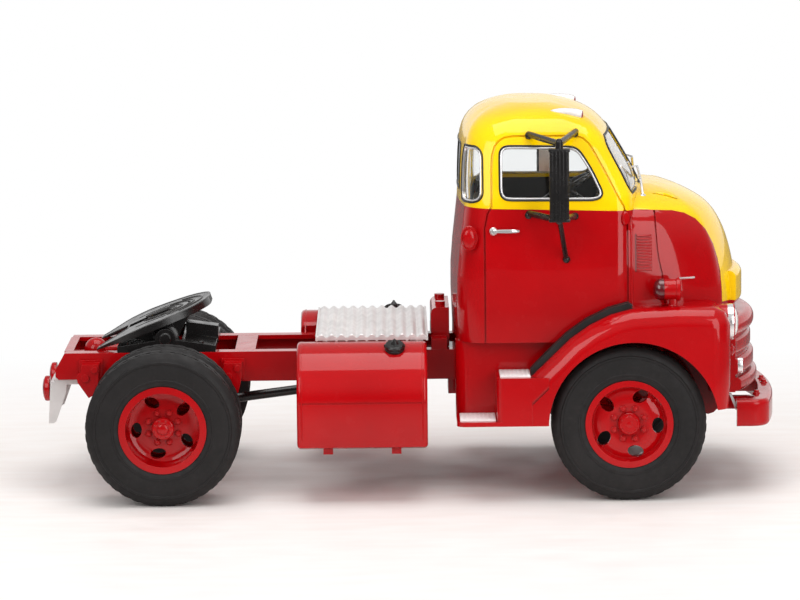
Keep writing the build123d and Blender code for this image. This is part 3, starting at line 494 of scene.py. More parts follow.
def rear_side(y, z):
    """Where a ray starts toward the cab's back."""
    return (-20.0, y, z)


# ---- wheels ----
TREAD_STEPS = 240


def tyre_profile(width):
    """(y, radius) over one tyre from bead to bead, outer side first."""
    half = width / 2
    side = [
        (half - 1.2, 6.45), (half - 0.62, 6.62), (half - 0.42, 6.9), (half - 0.2, 7.25), (half - 0.14, 7.55),
        (half - 0.02, 7.62), (half, 7.85), (half - 0.07, 7.95), (half - 0.02, 8.6), (half, 9.1),
        (half - 0.03, 9.7), (half - 0.10, 10.25), (half, 10.34), (half, 10.62), (half - 0.22, 10.72),
        (half - 0.38, 11.05), (half - 0.52, 11.3), (half - 0.75, 11.55), (half - 1.0, 11.75),
    ]
    return [(-y, r) for y, r in side], [(y, r) for y, r in reversed(side)]


def add_tyre(build, x, y_mid, width):
    """A tyre with shoulder blocks and zigzag ribs."""
    half = width / 2
    flat = half - 1.15
    near, far = tyre_profile(width)
    ribs = 3
    rings = []
    for step in range(TREAD_STEPS):
        a = 2 * math.pi * step / TREAD_STEPS
        notch = step % 6 < 2
        zig = 0.14 * (1 if step % 6 in (0, 1, 2) else -1)
        ring = []
        for y, r in near:
            ring.append((y, r))
        for k in range(ribs):
            y0 = -flat + 2 * flat * k / ribs
            y1 = -flat + 2 * flat * (k + 1) / ribs
            left = y0 + (zig if k > 0 else 0.0)
            right = y1 + (zig if k < ribs - 1 else 0.0)
            crown = TYRE_R - 0.03 * abs(k - 1)
            drop = 0.07 if notch and k != 1 else 0.0
            ring.append((left + 0.13, crown - drop))
            ring.append((right - 0.13, crown - drop))
            if k < ribs - 1:
                ring.append((right - 0.1, crown - 0.4))
                ring.append((right + 0.1, crown - 0.4))
        for y, r in far:
            ring.append((y, r))
        rings.append([(x + r * math.cos(a), y_mid + y, WHEEL_Z + r * math.sin(a)) for y, r in ring])
    build.rings(rings, closed=True)


def wheel_ring(build, x, y, axis_y, count, radius, r, height):
    """Hexagon nuts on washers round a hub."""
    for k in range(count):
        a = 2 * math.pi * (k + 0.5) / count
        centre = (x + radius * math.cos(a), y, WHEEL_Z + radius * math.sin(a))
        axis = (0, axis_y, 0)
        build.lathe([(r * 1.25, -0.3), (r * 1.25, 0.08), (r * 1.05, 0.14)], centre, axis, 12)
        build.lathe([(r, 0.0), (r, height * 0.8), (r * 0.8, height), (0, height)], centre, axis, 6)
        stud = [(r * 0.45, height * 0.5), (r * 0.45, height + 0.14), (0, height + 0.18)]
        build.lathe(stud, centre, axis, 8)


for side, word in ((-1, "right"), (1, "left")):
    body = f"front_{word}_wheel"
    tread = Build()
    add_tyre(tread, FRONT_X, side * FRONT_MID, FRONT_TYRE_W)
    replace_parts(tread.piece(f"front_tread_{word}", "tyre", body, angle=28), f"front_tyre_{word}")
    face = side * (FRONT_MID + FRONT_TYRE_W / 2)
    hub = Build()
    wheel_ring(hub, FRONT_X, face - side * 1.25, side, 8, 2.5, 0.42, 0.5)
    hub.lathe([(1.62, -0.7), (1.62, -0.2), (1.5, -0.05), (1.15, 0.0), (1.05, -0.08), (0.55, -0.08),
               (0.5, 0.06), (0.3, 0.1), (0, 0.1)],
              (FRONT_X, face - side * 0.3, WHEEL_Z), (0, side, 0), 32)
    wheel_ring(hub, FRONT_X, face - side * 0.36, side, 6, 1.32, 0.13, 0.1)
    valve = [(FRONT_X + 3.9, face - side * 1.1, WHEEL_Z + 3.4),
             (FRONT_X + 4.1, face - side * 0.5, WHEEL_Z + 3.75)]
    hub.rod(valve, 0.14)
    hub.piece(f"front_hub_{word}", "red_paint", body)
    body = f"rear_{word}_wheels"
    tread = Build()
    for k in (0, 1):
        add_tyre(tread, REAR_X, side * (REAR_MID - k * TWIN_PITCH), REAR_TYRE_W)
    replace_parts(tread.piece(f"rear_treads_{word}", "tyre", body, angle=28), f"rear_tyres_{word}")
    face = side * (REAR_MID + REAR_TYRE_W / 2)
    hub = Build()
    wheel_ring(hub, REAR_X, face - side * 3.35, side, 8, 2.45, 0.42, 0.5)
    hub.lathe([(1.72, -1.4), (1.72, -0.3), (1.6, -0.12), (1.25, 0.0), (0.9, -0.04), (0.8, 0.25),
               (0.5, 0.4), (0, 0.42)],
              (REAR_X, face - side * 1.8, WHEEL_Z), (0, side, 0), 32)
    wheel_ring(hub, REAR_X, face - side * 1.9, side, 8, 1.3, 0.15, 0.12)
    valve = [(REAR_X + 3.2, face - side * 2.6, WHEEL_Z + 3.9),
             (REAR_X + 3.4, face - side * 1.6, WHEEL_Z + 4.2)]
    hub.rod(valve, 0.14)
    hub.piece(f"rear_hub_{word}", "red_paint", body)

# ---- window frames ----
SIDE_WINDOW = [
    (15.4, 46.3), (28.7, 46.2), (29.7, 46.5), (30.2, 47.3), (28.6, 50.7), (27.2, 53.0), (26.5, 53.9),
    (25.5, 54.4), (15.4, 54.6), (14.6, 54.3), (14.2, 53.6), (14.2, 47.5), (14.6, 46.7),
]
REAR_WINDOW = [
    (-8.4, 47.0), (8.4, 47.0), (9.2, 47.8), (9.0, 53.2), (8.2, 54.0), (-8.2, 54.0), (-9.0, 53.2),
    (-9.2, 47.8),
]
SCREEN = [
    (0.6, 48.0), (17.6, 47.0), (18.4, 47.3), (18.6, 48.2), (18.0, 51.4), (17.4, 53.8), (16.6, 55.0),
    (15.2, 55.6), (0.6, 56.0),
]
GASKET = bead(0.26, 0.18)
THIN_GASKET = bead(0.4, 0.14)
TRIM = bead(0.32, 0.12, 0.3)
CORNER_RUN = 8.2


def quarter_ray(along, z):
    """A ray toward the cab's rear corner; along runs round the corner from the front of its window."""
    turn = min(max(along / CORNER_RUN, 0.0), 1.0)
    angle = math.radians(-90 - 90 * turn)
    out = Vector((math.cos(angle), math.sin(angle), 0))
    start = Vector((11.55 - min(along, 0.0), -13.05 + max(along - CORNER_RUN, 0.0), z))
    return start + out * 40, -out


def quarter_path(grow, lift):
    """The rounded opening that wraps round the rear corner of the cab."""
    corners = [(0.0, 45.9), (CORNER_RUN, 45.9), (CORNER_RUN, 54.4), (0.0, 54.4)]
    loop = offset_loop(smooth_loop(corners, 0.9, 3, 0.8), grow)
    path, ups = [], []
    for p, q in zip(loop, offset_loop(loop, 0.5 - grow)):
        hit, normal = on_skin(*quarter_ray(*q))
        origin, direction = quarter_ray(*p)
        reach = (hit - origin).dot(normal) / direction.dot(normal)
        path.append(origin + direction * reach + normal * lift)
        ups.append(normal)
    return path, ups


for side, word in ((-1, "right"), (1, "left")):
    for name, section, material, grow, lift in (
        ("side_gasket", GASKET, "black_rubber", 0.02, 0.0),
        ("side_trim", TRIM, "chrome", -0.26, -0.06)):
        made = Build()
        outline = offset_loop(smooth_loop(SIDE_WINDOW), grow)
        path, ups = hug(outline, right_side, (0, 1, 0), lift, 0.5 - grow)
        made.sweep(path, section, ups, closed=True)
        (made if side < 0 else flipped(made)).piece(f"{name}_{word}", material)
    for name, section, material, grow, lift in (
        ("quarter_gasket", GASKET, "black_rubber", 0.06, 0.0),
        ("quarter_trim", TRIM, "chrome", -0.24, -0.08)):
        made = Build()
        path, ups = quarter_path(grow, lift)
        made.sweep(path, section, ups, closed=True)
        (made if side < 0 else flipped(made)).piece(f"{name}_{word}", material)
    made = Build()
    path, ups = hug(offset_loop(smooth_loop(SCREEN), 0.1), front_side, (-1, 0, 0), 0.0, 0.4)
    made.sweep(path, THIN_GASKET, ups, closed=True)
    (made if side > 0 else flipped(made)).piece(f"screen_gasket_{word}", "black_rubber")
made = Build()
path, ups = hug(offset_loop(smooth_loop(REAR_WINDOW), 0.1), rear_side, (1, 0, 0), 0.0, 0.4)
made.sweep(path, THIN_GASKET, ups, closed=True)
made.piece("rear_gasket", "black_rubber")


# ---- cab details ----
def put_on_side(x, z):
    """A point and outward normal on the cab's right side."""
    return on_skin(right_side(x, z), (0, 1, 0))


def side_frame(x, z):
    """A local frame on the right side: first axis forward, second up, third outward."""
    point, normal = put_on_side(x, z)
    forward = Vector((1, 0, 0))
    forward = (forward - normal * forward.dot(normal)).normalized()
    up = normal.cross(forward) * -1
    if up.z < 0:
        up = -up
    return Matrix(((forward.x, up.x, normal.x, point.x), (forward.y, up.y, normal.y, point.y),
                   (forward.z, up.z, normal.z, point.z), (0, 0, 0, 1)))


def both_sides(build, name, material, body=CHASSIS, slot=None, angle=34.0):
    """The right-hand piece and its mirror image on the left."""
    build.piece(f"{name}_right", material, body, slot, angle)
    flipped(build).piece(f"{name}_left", material, body, slot, angle)


# air slots in the panel ahead of the door
louvre = Build()
LOUVRE_LOW, LOUVRE_HIGH, LOUVRES = 35.3, 40.6, 12
for k in range(LOUVRES):
    z = LOUVRE_LOW + (LOUVRE_HIGH - LOUVRE_LOW) * k / (LOUVRES - 1)
    rear, normal = put_on_side(35.35, z)
    front, _ = put_on_side(37.7, z)
    rings = []
    for t, high in ((0.0, 0.30), (0.15, 0.32), (0.75, 0.2), (1.0, 0.02)):
        centre = rear.lerp(front, t)
        ring = []
        for a, b in ((-0.17, -0.1), (-0.15, 0.55), (-0.06, 1.0), (0.06, 0.8), (0.15, 0.3), (0.17, -0.1)):
            ring.append(centre + Vector((0, 0, a)) + normal * b * high)
        rings.append(ring)
    louvre.rings(rings)
both_sides(louvre, "air_slots", "red_paint", angle=50)
shadow = Build()
heights = [LOUVRE_LOW - 0.3 + (LOUVRE_HIGH - LOUVRE_LOW + 0.6) * k / 6 for k in range(7)]
path, normals = zip(*[put_on_side(35.15, z) for z in heights])
shadow.sweep(list(path), [(-0.12, -0.1), (-0.12, 0.03), (0.12, 0.03), (0.12, -0.1)], list(normals))
both_sides(shadow, "slot_shadow", "shade_red", slot="red_paint")

# raised post between the door and the bonnet side, and the seam of the yellow top
post = Build()
path, normals = [], []
for k in range(13):
    point, normal = put_on_side(34.55, 29.2 + 14.6 * k / 12)
    path.append(point)
    normals.append(normal)
post.sweep(path, bead(0.45, 0.16, 0.1, 4), normals)
both_sides(post, "door_post", "red_paint")
cap = Build()
cap.lathe([(0.62, -0.3), (0.62, 0.35), (0.5, 0.55), (0, 0.6)], (0, 0, 0), (0, 0, 1), 20)
cap.moved(side_frame(33.45, 43.35) @ Matrix.Diagonal((1.0, 1.75, 1.0, 1.0)))
both_sides(cap, "hinge_boss", "red_paint")

# round filler cap and its neck on the rear corner of the cab
filler = Build()
profile = [(1.45, -0.4), (1.5, 0.05), (1.4, 0.2), (1.18, 0.16), (1.12, 0.5), (0.9, 0.7), (0.5, 0.78),
           (0, 0.8)]
filler.lathe(profile, (0, 0, 0), (0, -1, 0), 28)
filler.moved(Matrix.Translation((9.4, -21.7, 40.6)) @ Matrix.Diagonal((0.88, 1.0, 1.3, 1.0)))
filler.piece("filler_neck", "red_paint")

# door handles
handle = Build()
matrix = side_frame(14.9, 41.6)
handle.lathe([(0.62, -0.2), (0.62, 0.35), (0.45, 0.55), (0.2, 0.62), (0, 0.62)], (-1.75, 0, 0), (0, 0, 1), 24)
ring = [(0.22, -0.28), (0.3, 0.0), (0.22, 0.28), (-0.22, 0.28), (-0.3, 0.0), (-0.22, -0.28)]
stations = (
    (-1.75, 0.62, 1.1), (-1.2, 0.78, 1.0), (0.4, 0.82, 1.15), (1.5, 0.75, 1.0), (2.1, 0.55, 0.7),
    (2.3, 0.4, 0.4),
)
handle.rings([[(x, b * w * 0.9, z + a * 0.8) for a, b in ring] for x, z, w in stations])
handle.moved(matrix)
right = handle.piece("door_handle_right", "chrome")
left = flipped(handle).piece("door_handle_left", "chrome")
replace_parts(right, "door_handles")

# marker lamps on the fenders: a drum on a foot with a lens to the rear in a darker red, partly its own dark
# red and partly painted shade
DRUM = [(1.5, -0.1), (1.6, 0.05), (1.6, 1.8), (1.74, 1.9), (1.78, 2.05), (1.78, 2.35), (1.66, 2.5),
        (1.4, 2.55), (1.1, 2.48), (0, 2.5)]
DRUM_LENS = [(1.5, -0.1), (1.66, 0.05), (1.7, 0.4), (1.62, 0.9), (1.3, 1.35), (0.7, 1.6), (0, 1.66)]
for side, word in ((-1, "right"), (1, "left")):
    y = side * MARKER_Y
    body = Build()
    body.lathe(DRUM, (MARKER_X, y, MARKER_Z), (1, 0, 0), 40)
    foot = [(0.95, -0.3), (0.9, 0.15), (0.74, 0.35), (0.68, 1.5)]
    body.lathe(foot, (MARKER_X + 1.5, y, 30.0), (0, 0, 1), 24)
    shell = body.piece(f"marker_body_{word}", "red_paint")
    if side < 0:
        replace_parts(shell, "marker_lamps")
    lens = Build()
    lens.lathe(DRUM_LENS, (MARKER_X, y, MARKER_Z), (-1, 0, 0), 40)
    lens.piece(f"marker_lens_{word}", "lamp_dark_shaded", slot="lamp_red")

# roof lamps: a white tear drop with a red lens in front
TEAR = [(0.02, -2.7), (0.32, -2.2), (0.62, -1.4), (0.86, -0.4), (0.98, 0.6), (1.02, 1.5), (1.0, 2.1),
        (0.9, 2.2), (0, 2.2)]
for side, word in ((-1, "right"), (1, "left")):
    tear = Build()
    turned = Matrix.Translation((25.0, side * 13.4, 59.0)) @ Matrix.Rotation(math.radians(11), 4, "Y")
    tear.lathe(TEAR, (0, 0, 0), (1, 0, 0), 32)
    tear.moved(turned)
    shell = tear.piece(f"roof_lamp_{word}", "silver_paint", slot="silver_paint")
    if side < 0:
        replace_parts(shell, "roof_lamps")
    lens = Build()
    lens.lathe([(0.92, 2.1), *[(r, 2.15 + h) for r, h in dome(0.9, 0.35)]], (0, 0, 0), (1, 0, 0), 32)
    lens.moved(turned)
    lens.piece(f"roof_lens_{word}", "lamp_red")

# headlamps: plated rim, reflector bowl and a fluted lens
for side, word in ((-1, "right"), (1, "left")):
    y = side * LAMP_Y
    rim = Build()
    profile = [(2.35, 3.3), (2.46, 3.6), (2.62, 3.72), (2.78, 3.6), (2.86, 3.3), (2.84, 2.8), (2.78, 2.5)]
    rim.lathe([(r, d - 0.05) for r, d in reversed(profile)], (46.75, y, LAMP_Z), (1, 0, 0), 48)
    bowl = [(2.35, 3.2), (2.1, 2.9), (1.5, 2.6), (0.8, 2.45), (0, 2.4)]
    rim.lathe(bowl, (46.75, y, LAMP_Z), (1, 0, 0), 40)
    rim.piece(f"headlamp_rim_{word}", "chrome")
    lens = Build()
    lens.lathe([(2.36, -0.2), *[(r, h) for r, h in dome(2.36, 0.9, 8)]], (50.15, y, LAMP_Z), (1, 0, 0), 48)
    made = lens.piece(f"headlamp_lens_{word}", "lens_white", slot="clear")
    if side < 0:
        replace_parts(made, "headlamp_lenses")

# small front lamps: bezels round the CAD lenses
bezel = Build()
bezel.lathe([(0.95, -0.6), (0.97, 0.0), (0.84, 0.15), (0.7, 0.1)], (50.2, -18.6, 22.3), (1, 0, 0), 28)
both_sides(bezel, "turn_bezel", "red_paint")
PARK_X, PARK_Y, PARK_Z = 51.8, -16.4, 19.5
oval = Build()
turns = [2 * math.pi * k / 28 for k in range(28)]
path = [Vector((PARK_X, PARK_Y + 0.6 * math.cos(a), PARK_Z + 1.15 * math.sin(a))) for a in turns]
oval.sweep(path, bead(0.26, 0.3, 0.5, 4), (1, 0, 0), closed=True)
both_sides(oval, "park_bezel", "chrome")
park = Build()
turns = [2 * math.pi * k / 24 for k in range(24)]
rings = []
for scale, x in ((1.0, 51.3), (0.98, 51.95), (0.8, 52.15), (0.4, 52.25)):
    wide, high = 0.55 * scale, 1.1 * scale
    rings.append([(x, PARK_Y + wide * math.cos(a), PARK_Z + high * math.sin(a)) for a in turns])
park.rings(rings)
both_sides(park, "park_lens", "lens_white", slot="clear")

# bolts on the bumper's flange, the plated stays behind it and the panel behind the wheel arch
knob = Build()
for x, y in BUMPER_BOLTS:
    knob.lathe([(0.62, -0.3), (0.62, 0.08), (0.55, 0.14)], (x, y, BUMPER_TOP), (0, 0, 1), 20)
    knob.lathe([(0.42, 0.0), (0.42, 0.4), (0.3, 0.52), (0, 0.54)], (x, y, BUMPER_TOP), (0, 0, 1), 6)
both_sides(knob, "bumper_knobs", "red_paint")
stay = Build()
strap = [(49.9, 15.2), (50.3, 15.2), (51.3, 12.9), (51.3, 12.6), (50.9, 12.7)]
stay.rings([[(x, y, z) for x, z in strap] for y in (-17.5, -16.5)])
both_sides(stay, "bumper_stays", "chrome")
splash = Build()
panel = [(39.6, 24.0), (48.2, 24.0), (48.3, 13.6), (48.1, 12.9), (47.5, 12.3), (46.6, 12.0), (45.4, 12.4),
         (44.0, 15.6), (41.6, 18.6), (39.6, 20.4)]
splash.rings([[(x, y, z) for x, z in panel] for y in (-17.2, -16.7)])
both_sides(splash, "splash_panel", "shade_red", slot="red_paint")

# plain trim bars where a name would be
bar = Build()
path, normals = zip(*[put_on_side(41.9 + 2.5 * k / 5, 33.75) for k in range(6)])
bar.sweep(list(path), bead(0.34, 0.16, 0.1, 4), list(normals))
both_sides(bar, "side_bar", "chrome")

# wipers: a rod from the foot to a blade that leans on the screen
wiper = Build()
wiper.lathe([(0.55, -0.3), (0.55, 0.25), (0.35, 0.45), (0, 0.5)], (36.7, -14.1, 45.9), (0.3, -0.3, 1), 16)
wiper.rod([(36.7, -14.1, 46.1), (36.55, -11.0, 48.2), (36.2, -7.5, 50.1)], 0.2)
wiper.rod([(36.2, -7.5, 50.1), (35.7, -8.8, 50.2), (35.0, -10.0, 50.2)], 0.15)
wiper.rod([(34.55, -11.0, 51.1), (35.0, -10.1, 50.2), (35.45, -9.0, 48.7)], 0.2)
both_sides(wiper, "wiper", "chrome")

# bonnet ridges
RIDGE_STEPS = 8
ridge = Build()
rings = []
for k in range(RIDGE_STEPS + 1):
    p, n = on_skin((38.3 + 3.9 * k / RIDGE_STEPS, -12.6, 80.0), (0, 0, -1))
    rise = 0.38 * math.sin(math.pi * k / RIDGE_STEPS)
    section = ((-0.5, 0.0), (-0.25, 0.8), (0.0, 1.0), (0.25, 0.8), (0.5, 0.0))
    rings.append([p + Vector((0, a, 0)) + n * (b * rise - 0.05) for a, b in section])
ridge.rings(rings)
both_sides(ridge, "bonnet_ridge", "yellow_paint")


# ---- mirrors ----
MIRROR_LOW, MIRROR_HIGH = 43.75, 55.05
ARM_BALL = [(0.05, -0.6), (0.38, -0.48), (0.57, -0.2), (0.6, 0.0), (0.57, 0.2), (0.38, 0.48), (0.05, 0.6)]
mirror = Build()
for dx in (-1.1, -0.55, 0.0, 0.55, 1.1):
    rib = MIRROR_X + dx
    mirror.block((rib - 0.14, -29.32, MIRROR_LOW + 0.35), (rib + 0.14, -29.0, MIRROR_HIGH - 0.35), 0.06)
for low, high in ((MIRROR_HIGH - 0.55, MIRROR_HIGH), (MIRROR_LOW, MIRROR_LOW + 0.55)):
    mirror.block((MIRROR_X - 1.65, -29.15, low), (MIRROR_X + 1.65, -27.65, high), 0.2)
for point in (
        (18.8, -18.3, 56.1), (25.9, -18.1, 56.3), (18.6, -21.0, 44.0), (25.8, -21.0, 43.8),
        (24.4, -21.9, 37.2), (MIRROR_X, MIRROR_Y, 56.0), (MIRROR_X, MIRROR_Y, 43.9)):
    mirror.lathe(ARM_BALL, point, (0.2, 0, 1), 16)
both_sides(mirror, "mirror_fittings", "black_plastic")
face = Build()
face.block((MIRROR_X - 1.15, -27.66, 44.7), (MIRROR_X + 1.15, -27.5, 54.1), 0.07)
both_sides(face, "mirror_face", "silver_paint")

# ---- steps, tanks, deck ----
tread = Build()
for x0, x1, top in ((7.7, 13.2, 12.88), (13.9, 18.6, 19.68)):
    tread.block((x0, -26.3, top - 0.25), (x1, -19.3, top + 0.06), 0.08)
    count = int((x1 - x0) / 0.62)
    for k in range(count):
        x = x0 + (x1 - x0) * (k + 0.5) / count
        tread.block((x - 0.15, -25.9, top), (x + 0.15, -19.7, top + 0.14), 0.05)
for side, word in ((-1, "right"), (1, "left")):
    made = tread if side < 0 else flipped(tread)
    made = made.piece(f"step_plates_{word}", "step_silver", slot="silver_paint")
    if side < 0:
        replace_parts(made, "step_treads")

deck = Build()
RIBS, DECK_X0, DECK_X1, DECK_TOP = 11, -14.5, 2.8, 24.66
profile = []
for k in range(RIBS * 10 + 1):
    x = DECK_X0 + (DECK_X1 - DECK_X0) * k / (RIBS * 10)
    profile.append((x, DECK_TOP + 0.5 * (0.5 - 0.5 * math.cos(2 * math.pi * k / 10)) ** 0.8))
outline = profile + [(x, z - 0.5) for x, z in reversed(profile)]
lips = ((-16.85, 0.12), (-16.7, 0.0), (16.7, 0.0), (16.85, 0.12))
deck.rings([[(x, y, z - drop) for x, z in outline] for y, drop in lips])
deck.piece("deck_ribs", "silver_paint", angle=30)
edge = Build()
for x in (DECK_X0, DECK_X1):
    edge.block((x - 0.14, -16.9, 24.1), (x + 0.14, 16.9, 24.95), 0.06)
edge.piece("deck_edge", "silver_paint")

cap = Build()
base, lean = Vector((-2.3, -22.0, 23.6)), Vector((0, -0.4, 0.917)).normalized()
profile = [(1.5, -0.4), (1.55, 0.1), (1.4, 0.22), (1.5, 0.32), (1.5, 0.62), (1.3, 0.8), (0.7, 0.86),
           (0, 0.86)]
cap.lathe(profile, base, lean, 32)
cap.lathe([(0.6, 0.8), (0.5, 1.15), (0.3, 1.4), (0.14, 1.7), (0, 1.74)], base, lean, 20)
for k in range(6):
    a = 2 * math.pi * k / 6
    spot = base + Vector((math.cos(a), 0.917 * math.sin(a), 0.4 * math.sin(a))) * 1.48 + lean * 0.45
    cap.lathe([(0.18, -0.2), (0.18, 0.2)], spot, lean, 8)
both_sides(cap, "tank_cap", "black_plastic")
band = Build()
for x in (-16.75, 1.95):
    path, ups = [], []
    for k in range(15):
        a = math.radians(50 - 140 * k / 14)
        path.append(Vector((x, TANK_MID_Y + 8.42 * math.sin(a), TANK_SEAM_Z + 8.42 * math.cos(a))))
        ups.append(Vector((0, math.sin(a), math.cos(a))))
    path.append(Vector((x, -27.02, 10.0)))
    ups.append(Vector((0, -1, 0)))
    band.sweep(path, bead(0.24, 0.06, 0.1, 4), ups)
both_sides(band, "tank_beads", "red_paint")

# ---- fifth wheel ----
plate_place = Matrix.Translation((PIVOT_X, 0, PIVOT_Z)) @ Matrix.Rotation(-PLATE_TILT, 4, "Y")


def plate_height(x):
    """The height of the plate's top above its pivot; the two horns run down to the rear."""
    if x > -2.5:
        return PLATE_TOP - 0.02
    if x > -5.6:
        return PLATE_TOP - 0.02 - 0.2 * (-2.5 - x) / 3.1
    return PLATE_TOP - 0.22 - 0.75 * (-5.6 - x) / 5.5


def plate_point(x, y):
    return Vector((x, y, plate_height(x)))


rim = Build()
half = [(8.2, 0.0), (8.2, 2.2)]
for angle in (24, 36, 48, 60, 72):
    a = math.radians(angle)
    half.append((8.2 * math.cos(a) + 0.25, 9.75 * math.sin(a) + 0.35))
half += [(0.4, 10.35), (-1.2, 10.5), (-2.4, 10.52), (-4.2, 10.45), (-5.8, 10.15), (-7.0, 9.75), (-9.4, 7.95),
         (-10.8, 7.4), (-10.8, 5.25), (-5.8, 1.9)]
outline = [plate_point(x, y) for x, y in half] + [plate_point(x, -y) for x, y in reversed(half[1:])]
path = [Vector((p.x * 0.985, p.y * 0.985, p.z)) for p in outline]
rim.sweep(path, bead(0.4, 0.12, 0.1, 4), (0, 0, 1), closed=True)
RING_STEPS = 40
for radius, start, end in ((2.5, -150, 150), (3.6, -140, 140), (5.6, -78, 78), (7.0, -62, 62)):
    turns = [math.radians(start + (end - start) * k / RING_STEPS) for k in range(RING_STEPS + 1)]
    ring = [plate_point(radius * math.cos(a), radius * math.sin(a)) for a in turns]
    rim.sweep(ring, bead(0.3, 0.17, 0.08, 4), (0, 0, 1))
rim.moved(plate_place)
# the rim and rings take the paler black, a painted highlight on them
rim.piece("plate_rings", "painted_highlight_black", "fifth_wheel", slot="black_plastic")
jaw = Build()
jaw.lathe([(1.86, 1.75), (2.25, 1.75), (2.25, 2.0), (1.86, 2.0)], (0, 0, 0), (0, 0, 1), 40)
for side in (-1, 1):
    boss = [(2.0, -0.3), (2.05, 0.0), (1.6, 0.25), (1.1, 0.3), (1.0, 0.15), (0, 0.15)]
    jaw.lathe(boss, (0, side * 8.6, 0.0), (0, side, 0), 28)
    gusset = [(-5.4, 1.95), (4.8, 1.95), (2.9, 0.4), (1.7, -1.0), (-1.7, -1.0), (-2.6, 0.3)]
    jaw.rings([[(x, side * y, z) for x, z in gusset] for y in (7.2, 8.4)])
jaw.moved(plate_place)
jaw.piece("plate_underside", "black_plastic", "fifth_wheel")
seat = Build()
for side in (-1, 1):
    pin = [(1.0, -0.2), (1.0, 0.15), (0.8, 0.3), (0, 0.32)]
    seat.lathe(pin, (PIVOT_X, side * 10.5, PIVOT_Z), (0, side, 0), 24)
    for dx in (-5.6, 5.6):
        bolt = [(0.45, -0.3), (0.45, 0.2), (0.3, 0.32), (0, 0.34)]
        seat.lathe(bolt, (PIVOT_X + dx, side * 9.4, 23.0), (0, 0, 1), 6)
seat.piece("pedestal_fittings", "black_plastic")

# ---- frame details ----
clamps = Build()
for dx in (-1.9, 1.9):
    for y in (-11.2, -13.0):
        clamps.rod([(SPRING_X + dx, y, 12.6), (SPRING_X + dx, y, 16.0)], 0.22)
clamps.block((SPRING_X - 2.4, -13.3, 15.3), (SPRING_X + 2.4, -10.9, 16.0), 0.15)
for reach, z in ((9.6, 13.55), (7.4, 13.1), (5.2, 12.7)):
    sag = 1.2 * (reach / 11.2) ** 2
    shares = (-1, -0.66, -0.33, 0, 0.33, 0.66, 1)
    leaf = [Vector((SPRING_X + reach * t, -12.1, z + sag * t * t)) for t in shares]
    clamps.sweep(leaf, [(-0.95, -0.18), (-0.95, 0.18), (0.95, 0.18), (0.95, -0.18)], (0, 0, 1))
both_sides(clamps, "spring_clamps", "red_paint")
lamp = Build()
for side in (-1, 1):
    place = (TAIL_X, side * TAIL_LAMP_Y, TAIL_LAMP_Z)
    lamp.lathe([(2.0, -0.1), (2.02, 0.5), (1.9, 0.72), (1.72, 0.66)], place, (-1, 0, 0), 40)
lamp.piece("tail_lamp_rims", "red_paint")
lens = Build()
for side in (-1, 1):
    place = (TAIL_X, side * TAIL_LAMP_Y, TAIL_LAMP_Z)
    lens.lathe([(1.76, 0.2), *[(r, 0.7 + h) for r, h in dome(1.75, 0.4)]], place, (-1, 0, 0), 36)
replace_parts(lens.piece("tail_lamp_lenses", "lamp_red"), "tail_lamps")

# ---- cab inside ----
lining = Build()
grid_x = [11.0 + 22.0 * k / 22 for k in range(23)]
grid_z = [25.3 + 20.4 * k / 12 for k in range(13)]
rings = []
for x in grid_x:
    inner, outer = [], []
    for z in grid_z:
        point, normal = on_skin((x, 0.0, z), (0, -1, 0))
        inner.append(point + normal * 0.16)
        outer.append(point + normal * 0.02)
    rings.append(inner + outer[::-1])
lining.rings(rings)
both_sides(lining, "door_lining", "seat", slot="black_plastic")
back = Build()
rings = []
for k in range(23):
    y = -14.0 + 28.0 * k / 22
    inner, outer = [], []
    for z in grid_z:
        point, normal = on_skin((15.0, y, z), (-1, 0, 0))
        inner.append(point + normal * 0.16)
        outer.append(point + normal * 0.02)
    rings.append(inner + outer[::-1])
back.rings(rings)
back.piece("rear_lining", "seat", slot="black_plastic")
bench = Build()
for side in (-1, 1):
    y = side * 13.3
    bench.block((10.4, y - 4.9, 25.4), (19.3, y + 4.9, 34.6), 0.3)
    for k in range(5):
        bench.block((10.8, y - 4.8 + 1.92 * k, 34.0), (19.5, y - 4.8 + 1.92 * (k + 1), 36.1), 0.62)
        bench.block((10.1, y - 4.8 + 1.92 * k, 35.6), (12.6, y - 4.8 + 1.92 * (k + 1), 46.4), 0.62)
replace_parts(bench.piece("moulded_seats", "seat", slot="black_plastic", angle=50), "seats")
dials = Build()
for y in (8.6, 11.0, 13.4):
    dial = [(0.95, -0.2), (0.95, 0.08), (0.8, 0.16), (0.78, 0.06), (0, 0.06)]
    dials.lathe(dial, (30.95, y, 42.9), (-1, 0, 0), 24)
dials.block((30.85, -16.5, 40.4), (31.05, -5.5, 43.9), 0.08)
dials.piece("dash_fittings", "black_plastic")
hub = Build()
axis = Vector((-0.5, 0, 0.86)).normalized()
hub.lathe([(1.0, -0.5), (1.0, 0.35), (0.7, 0.6), (0, 0.68)], STEERING_HUB, axis, 24)
hub.piece("steering_boss", "black_plastic")

# ---- stage, camera and light ----
def set_up_camera():
    """The camera worked out from both wheels: angles in degrees, focal length in pixels of the width."""
    pitch, yaw, roll = (math.radians(a) for a in (7.615, 0.144, 0.605))
    focal, width, sensor = 4332.6, 800, 36.0
    ahead = Vector((math.sin(yaw) * math.cos(pitch), math.cos(yaw) * math.cos(pitch), -math.sin(pitch)))
    level = Vector((math.cos(yaw), -math.sin(yaw), 0))
    right = level * math.cos(roll) - level.cross(ahead) * math.sin(roll)
    up = right.cross(ahead)
    data = bpy.data.cameras.new("camera")
    data.sensor_width = sensor
    data.lens = focal * sensor / width
    data.clip_start, data.clip_end = 0.05, 20.0
    camera = bpy.data.objects.new("camera", data)
    place = Matrix((right, up, -ahead)).transposed().to_4x4()
    place.translation = Vector((-3.054, -686.163, 119.955)) * MM
    camera.matrix_world = place
    bpy.context.scene.collection.objects.link(camera)
    bpy.context.scene.camera = camera


